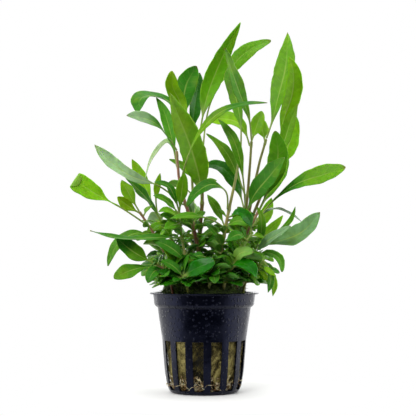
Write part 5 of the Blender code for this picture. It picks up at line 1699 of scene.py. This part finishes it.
@dataclass(frozen=True)
class WetPolypropylene:
    """Black polypropylene, injection moulded with a satin face and beaded all over with condensation.

    The eye sees near black with broad soft highlights, which small beads break into dark and bright dots.
    """

    colour: str = "#020309"
    dust: str = "#05060d"
    satin: float = 0.34
    bead_pitch: float = 1.55
    bead_size: float = 0.4

    def material(self) -> bpy.types.Material:
        """Wire the material up. Beads stand in the cells of a Voronoi pattern, some of them empty.

        Returns:
            The material.
        """
        made, tree, shader = blank("wet_black_polypropylene")
        where = node(tree, "TexCoord", outlet="Object")
        cells = node(tree, "TexVoronoi", {"Vector": where, "Scale": 1 / (self.bead_pitch * MM)}).node.outputs
        lot = node(tree, "SeparateXYZ", (cells["Color"],))
        size = node(tree, "MapRange", (lot, 0.05, 0.7, 0.0, self.bead_size), **SMOOTH)
        # A bead is a dome: the root of its radius squared less the distance from its middle squared.
        reach = node(tree, "Math", (size, size), operation="MULTIPLY")
        away = node(tree, "Math", (cells["Distance"], cells["Distance"]), operation="MULTIPLY")
        dome = node(tree, "Math", (reach, away), operation="SUBTRACT")
        dome = node(tree, "Math", (node(tree, "Math", (dome, 0.0), operation="MAXIMUM"),), operation="SQRT")
        wet = node(tree, "Math", (dome, 0.02), operation="GREATER_THAN")
        film = node(tree, "TexNoise", {"Vector": where, "Scale": 1 / (9 * MM), "Detail": 3.0})
        satin = node(tree, "MapRange", (film, 0.4, 0.62, self.satin, self.satin - 0.12), **SMOOTH)
        rim = node(tree, "MapRange", (dome, 0.12, 0.32, 0.5, 0.04), **SMOOTH)
        rough = node(tree, "Mix", {0: wet, 2: satin, 3: rim})
        dust = node(tree, "TexNoise", {"Vector": where, "Scale": 1 / (3 * MM), "Detail": 4.0})
        dust = node(tree, "MapRange", (dust, 0.45, 0.75), **SMOOTH)
        colour = node(tree, "Mix", {0: dust, 6: self.colour, 7: self.dust}, **COLOURS)
        grain = node(tree, "TexNoise", {"Vector": where, "Scale": 1 / (0.35 * MM)})
        height = node(tree, "Math", (grain, 0.02, dome), operation="MULTIPLY_ADD")
        height = node(tree, "Math", (film, 0.3, height), operation="MULTIPLY_ADD")
        bump = node(tree, "Bump", {"Height": height, "Strength": 0.9, "Distance": self.bead_pitch * MM})
        wire(tree, shader, {
            "Base Color": colour, "Roughness": rough, "Normal": bump, "IOR": 1.49, "Specular IOR Level": 0.24,
            "Specular Tint": (0.46, 0.52, 1.0, 1.0)})
        return made


@dataclass(frozen=True)
class MineralWool:
    """Mineral wool, spun from melted rock and soaked: matted olive fibres on the tufts, drawn darker the
    deeper they lie, as painted shade in the hollows.
    """

    tuft: str = "#a4985a"
    middle: str = "#4c4214"
    hollow: str = "#100f02"

    def material(self) -> bpy.types.Material:
        """Wire the material up over the wool's own depth, which it turns into painted shade: the deeper, the
        darker.

        Returns:
            The material.
        """
        made, tree, shader = blank("wet_mineral_wool")
        where = node(tree, "TexCoord", outlet="Object")
        deep = node(tree, "Attribute", outlet="Fac", attribute_name="depth")
        # Fibres are about 0.01 mm thick, so the matting is drawn as coarse as 0.5 mm.
        matted = node(tree, "TexNoise", {"Vector": where, "Scale": 1 / (0.5 * MM), "Detail": 4.0,
                                         "Roughness": 0.7})
        blotch = node(tree, "TexNoise", {"Vector": where, "Scale": 1 / (4.5 * MM)})
        fine = node(tree, "MapRange", (matted, 0.3, 0.7, 0.22, -0.22), **SMOOTH)
        broad = node(tree, "MapRange", (blotch, 0.35, 0.7, -0.15, 0.22), **SMOOTH)
        deep = node(tree, "Math", (node(tree, "Math", (deep, fine), operation="ADD"), broad), operation="ADD")
        # Painted shade: the deeper the wool lies, the darker it is drawn, through the middle colour to the
        # hollow's near black.
        share = node(tree, "MapRange", (deep, 0.02, 0.42), **SMOOTH)
        colour = node(tree, "Mix", {0: share, 6: self.tuft, 7: self.middle}, **COLOURS)
        share = node(tree, "MapRange", (deep, 0.4, 0.85), **SMOOTH)
        colour = node(tree, "Mix", {0: share, 6: colour, 7: self.hollow}, **COLOURS)
        bump = node(tree, "Bump", {"Height": matted, "Strength": 0.9, "Distance": 0.5 * MM})
        wire(tree, shader, {
            "Base Color": colour, "Roughness": 0.7, "Normal": bump, "Specular IOR Level": 0.35})
        return made


@dataclass(frozen=True)
class MossFrond:
    """Wet water moss: nearly black green, drawn lighter on the swells of the mat and towards the tips of its
    fronds, as painted light.
    """

    dark: str = "#1a2807"
    light: str = "#7c9a30"

    def material(self) -> bpy.types.Material:
        """Wire the material up over each frond's own light, which is painted light: the higher it is, the
        lighter the green.

        Returns:
            The material.
        """
        made, tree, shader = blank("wet_moss")
        where = node(tree, "TexCoord", outlet="Object")
        light = node(tree, "Attribute", outlet="Fac", attribute_name="light")
        clump = node(tree, "TexNoise", {"Vector": where, "Scale": 1 / (3 * MM)})
        clump = node(tree, "MapRange", (clump, 0.35, 0.65, 0.4, 1.2), **SMOOTH)
        light = node(tree, "Math", (light, clump), operation="MULTIPLY")
        colour = node(tree, "Mix", {0: light, 6: self.dark, 7: self.light}, **COLOURS)
        grain = node(tree, "TexNoise", {"Vector": where, "Scale": 1 / (0.6 * MM), "Detail": 3.0})
        bump = node(tree, "Bump", {"Height": grain, "Strength": 0.8, "Distance": 0.5 * MM})
        wire(tree, shader, {"Base Color": colour, "Roughness": 0.6, "Normal": bump})
        return made


@dataclass(frozen=True)
class RootSkin:
    """Young root: cream, soft and a little see-through, darker where it has taken up silt."""

    cream: str = "#ece0b8"
    silt: str = "#80643a"

    def material(self) -> bpy.types.Material:
        """Wire the material up.

        Returns:
            The material.
        """
        made, tree, shader = blank("young_root")
        where = node(tree, "TexCoord", outlet="Object")
        silted = node(tree, "TexNoise", {"Vector": where, "Scale": 1 / (2.2 * MM), "Detail": 3.0})
        silted = node(tree, "MapRange", (silted, 0.36, 0.56), **SMOOTH)
        colour = node(tree, "Mix", {0: silted, 6: self.cream, 7: self.silt}, **COLOURS)
        wire(tree, shader, {
            "Base Color": colour, "Roughness": 0.5, "Subsurface Weight": 0.4,
            "Subsurface Radius": (1.0, 0.8, 0.4), "Subsurface Scale": 0.4 * MM})
        return made


@dataclass
class Studio:
    """A pale floor, a white room, soft lights, and the camera at the photograph's place."""

    eye: Triple = (1.9, -620.0, 69.0)
    aim: Triple = (1.9, 0.0, 92.6)
    lens: float = 106.0
    above: float = 0.85
    behind: tuple[float, float] = (1.2, 2.3)
    sides: float = 2.1
    side_reach: tuple[float, float] = (0.72, 0.9)
    front: float = 0.04
    floor_colour: str = "#fdfdfc"
    floor_radius: float = 0.085
    # Each light: where it stands and how wide and high it is, in metres, then its power in watts.
    lights: tuple[tuple[Triple, tuple[float, float], float], ...] = (
        ((-0.35, -0.75, 0.65), (0.5, 0.4), 4.6),
        ((0.1, 0.1, 0.95), (0.4, 0.4), 1.2),
    )

    def build(self) -> None:
        """Set the floor, the room, the lights and the camera."""
        scene = bpy.context.scene
        scene.view_settings.view_transform = "Standard"
        self.floor()
        self.room(scene)
        for i, (place, size, power) in enumerate(self.lights):
            lamp = bpy.data.lights.new(f"softbox_{i}", "AREA")
            lamp.shape, lamp.size, lamp.size_y, lamp.energy = "RECTANGLE", *size, power
            self.face(f"softbox_{i}", lamp, place, (0.0, 0.0, 0.09))
        camera = bpy.data.cameras.new("camera")
        camera.lens, camera.sensor_width, camera.clip_start = self.lens, 36.0, 0.01
        eye, aim = (tuple(c * MM for c in place) for place in (self.eye, self.aim))
        scene.camera = self.face("camera", camera, eye, aim)
        log.info("studio: %d lights, lens %.0f mm", len(self.lights), self.lens)

    @staticmethod
    def face(name: str, data: bpy.types.ID, place: Triple, aim: Triple) -> bpy.types.Object:
        """Stand a light or camera at a place and turn it to face another.

        Args:
            name: Its name.
            data: The light or camera.
            place: Where it stands, in metres.
            aim: What it faces, in metres.

        Returns:
            The object.
        """
        made = bpy.data.objects.new(name, data)
        made.location = place
        made.rotation_euler = (Vector(aim) - Vector(place)).to_track_quat("-Z", "Y").to_euler()
        bpy.context.scene.collection.objects.link(made)
        return made

    def floor(self) -> None:
        """Lay a round of pale board, with a faint mottle.

        It shines white at its rim, so that its edge doesn't show where the shadows end.
        """
        mesh = bpy.data.meshes.new("floor")
        turn = np.linspace(0, 2 * math.pi, 96, endpoint=False)
        points = round_axis(turn, self.floor_radius, 0 * turn - 0.0002)
        mesh.from_pydata(points.tolist(), [], [tuple(range(len(points)))])
        made, tree, shader = blank("pale_board")
        where = node(tree, "TexCoord", outlet="Object")
        mottle = node(tree, "TexNoise", {"Vector": where, "Scale": 1 / (40 * MM)})
        mottle = node(tree, "MapRange", (mottle, 0.3, 0.7, 0.0, 0.04), **SMOOTH)
        colour = node(tree, "Mix", {0: mottle, 6: self.floor_colour, 7: "#dcdcd8"}, **COLOURS)
        reach = node(tree, "VectorMath", (where,), outlet="Value", operation="LENGTH")
        rim = node(tree, "MapRange", (reach, 0.55 * self.floor_radius, 0.95 * self.floor_radius), **SMOOTH)
        colour = node(tree, "Mix", {0: rim, 6: colour, 7: "#000000"}, **COLOURS)
        wire(tree, shader, {
            "Base Color": colour, "Emission Color": "#ffffff", "Emission Strength": rim, "Roughness": 0.8})
        mesh.materials.append(made)
        board = bpy.data.objects.new("floor", mesh)
        bpy.context.scene.collection.objects.link(board)
        board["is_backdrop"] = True

    def room(self, scene: bpy.types.Scene) -> None:
        """Make the room white to the camera, and as a light bright but for its lower front, which is dark.

        Args:
            scene: The scene.
        """
        world = bpy.data.worlds.new("room")
        world.use_nodes = True
        scene.world = world
        tree = world.node_tree
        way = node(tree, "SeparateXYZ", (node(tree, "TexCoord", outlet="Generated"),)).node.outputs
        aside = node(tree, "Math", (way[0],), operation="ABSOLUTE")
        aside = node(tree, "MapRange", (aside, *self.side_reach), **SMOOTH)
        strength = node(tree, "Mix", {0: aside, 2: self.front, 3: self.sides})
        behind = node(tree, "MapRange", (way[2], -0.2, 0.1, *self.behind), **SMOOTH)
        backward = node(tree, "MapRange", (way[1], 0.3, 0.8), **SMOOTH)
        strength = node(tree, "Mix", {0: backward, 2: strength, 3: behind})
        upward = node(tree, "MapRange", (way[2], 0.3, 0.65), **SMOOTH)
        strength = node(tree, "Mix", {0: upward, 2: strength, 3: self.above})
        lit = node(tree, "Background", {"Color": "#ffffff", "Strength": strength})
        seen = node(tree, "Background", {"Color": "#ffffff", "Strength": 1.0})
        to_camera = node(tree, "LightPath", outlet="Is Camera Ray")
        tree.links.new(node(tree, "MixShader", (to_camera, lit, seen)), tree.nodes["World Output"].inputs[0])


def main() -> None:
    """Build the parts in order."""
    logging.basicConfig(level=logging.INFO, format="%(name)s: %(message)s")
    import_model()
    Studio().build()
    bark = StalkSkin()
    Pot(WetPolypropylene()).build()
    Plug(MineralWool(), RootSkin()).build()
    Moss(MossFrond(), bark).build()
    Plant(LeafBlade(), bark).build()


if __name__ == "__main__":
    main()
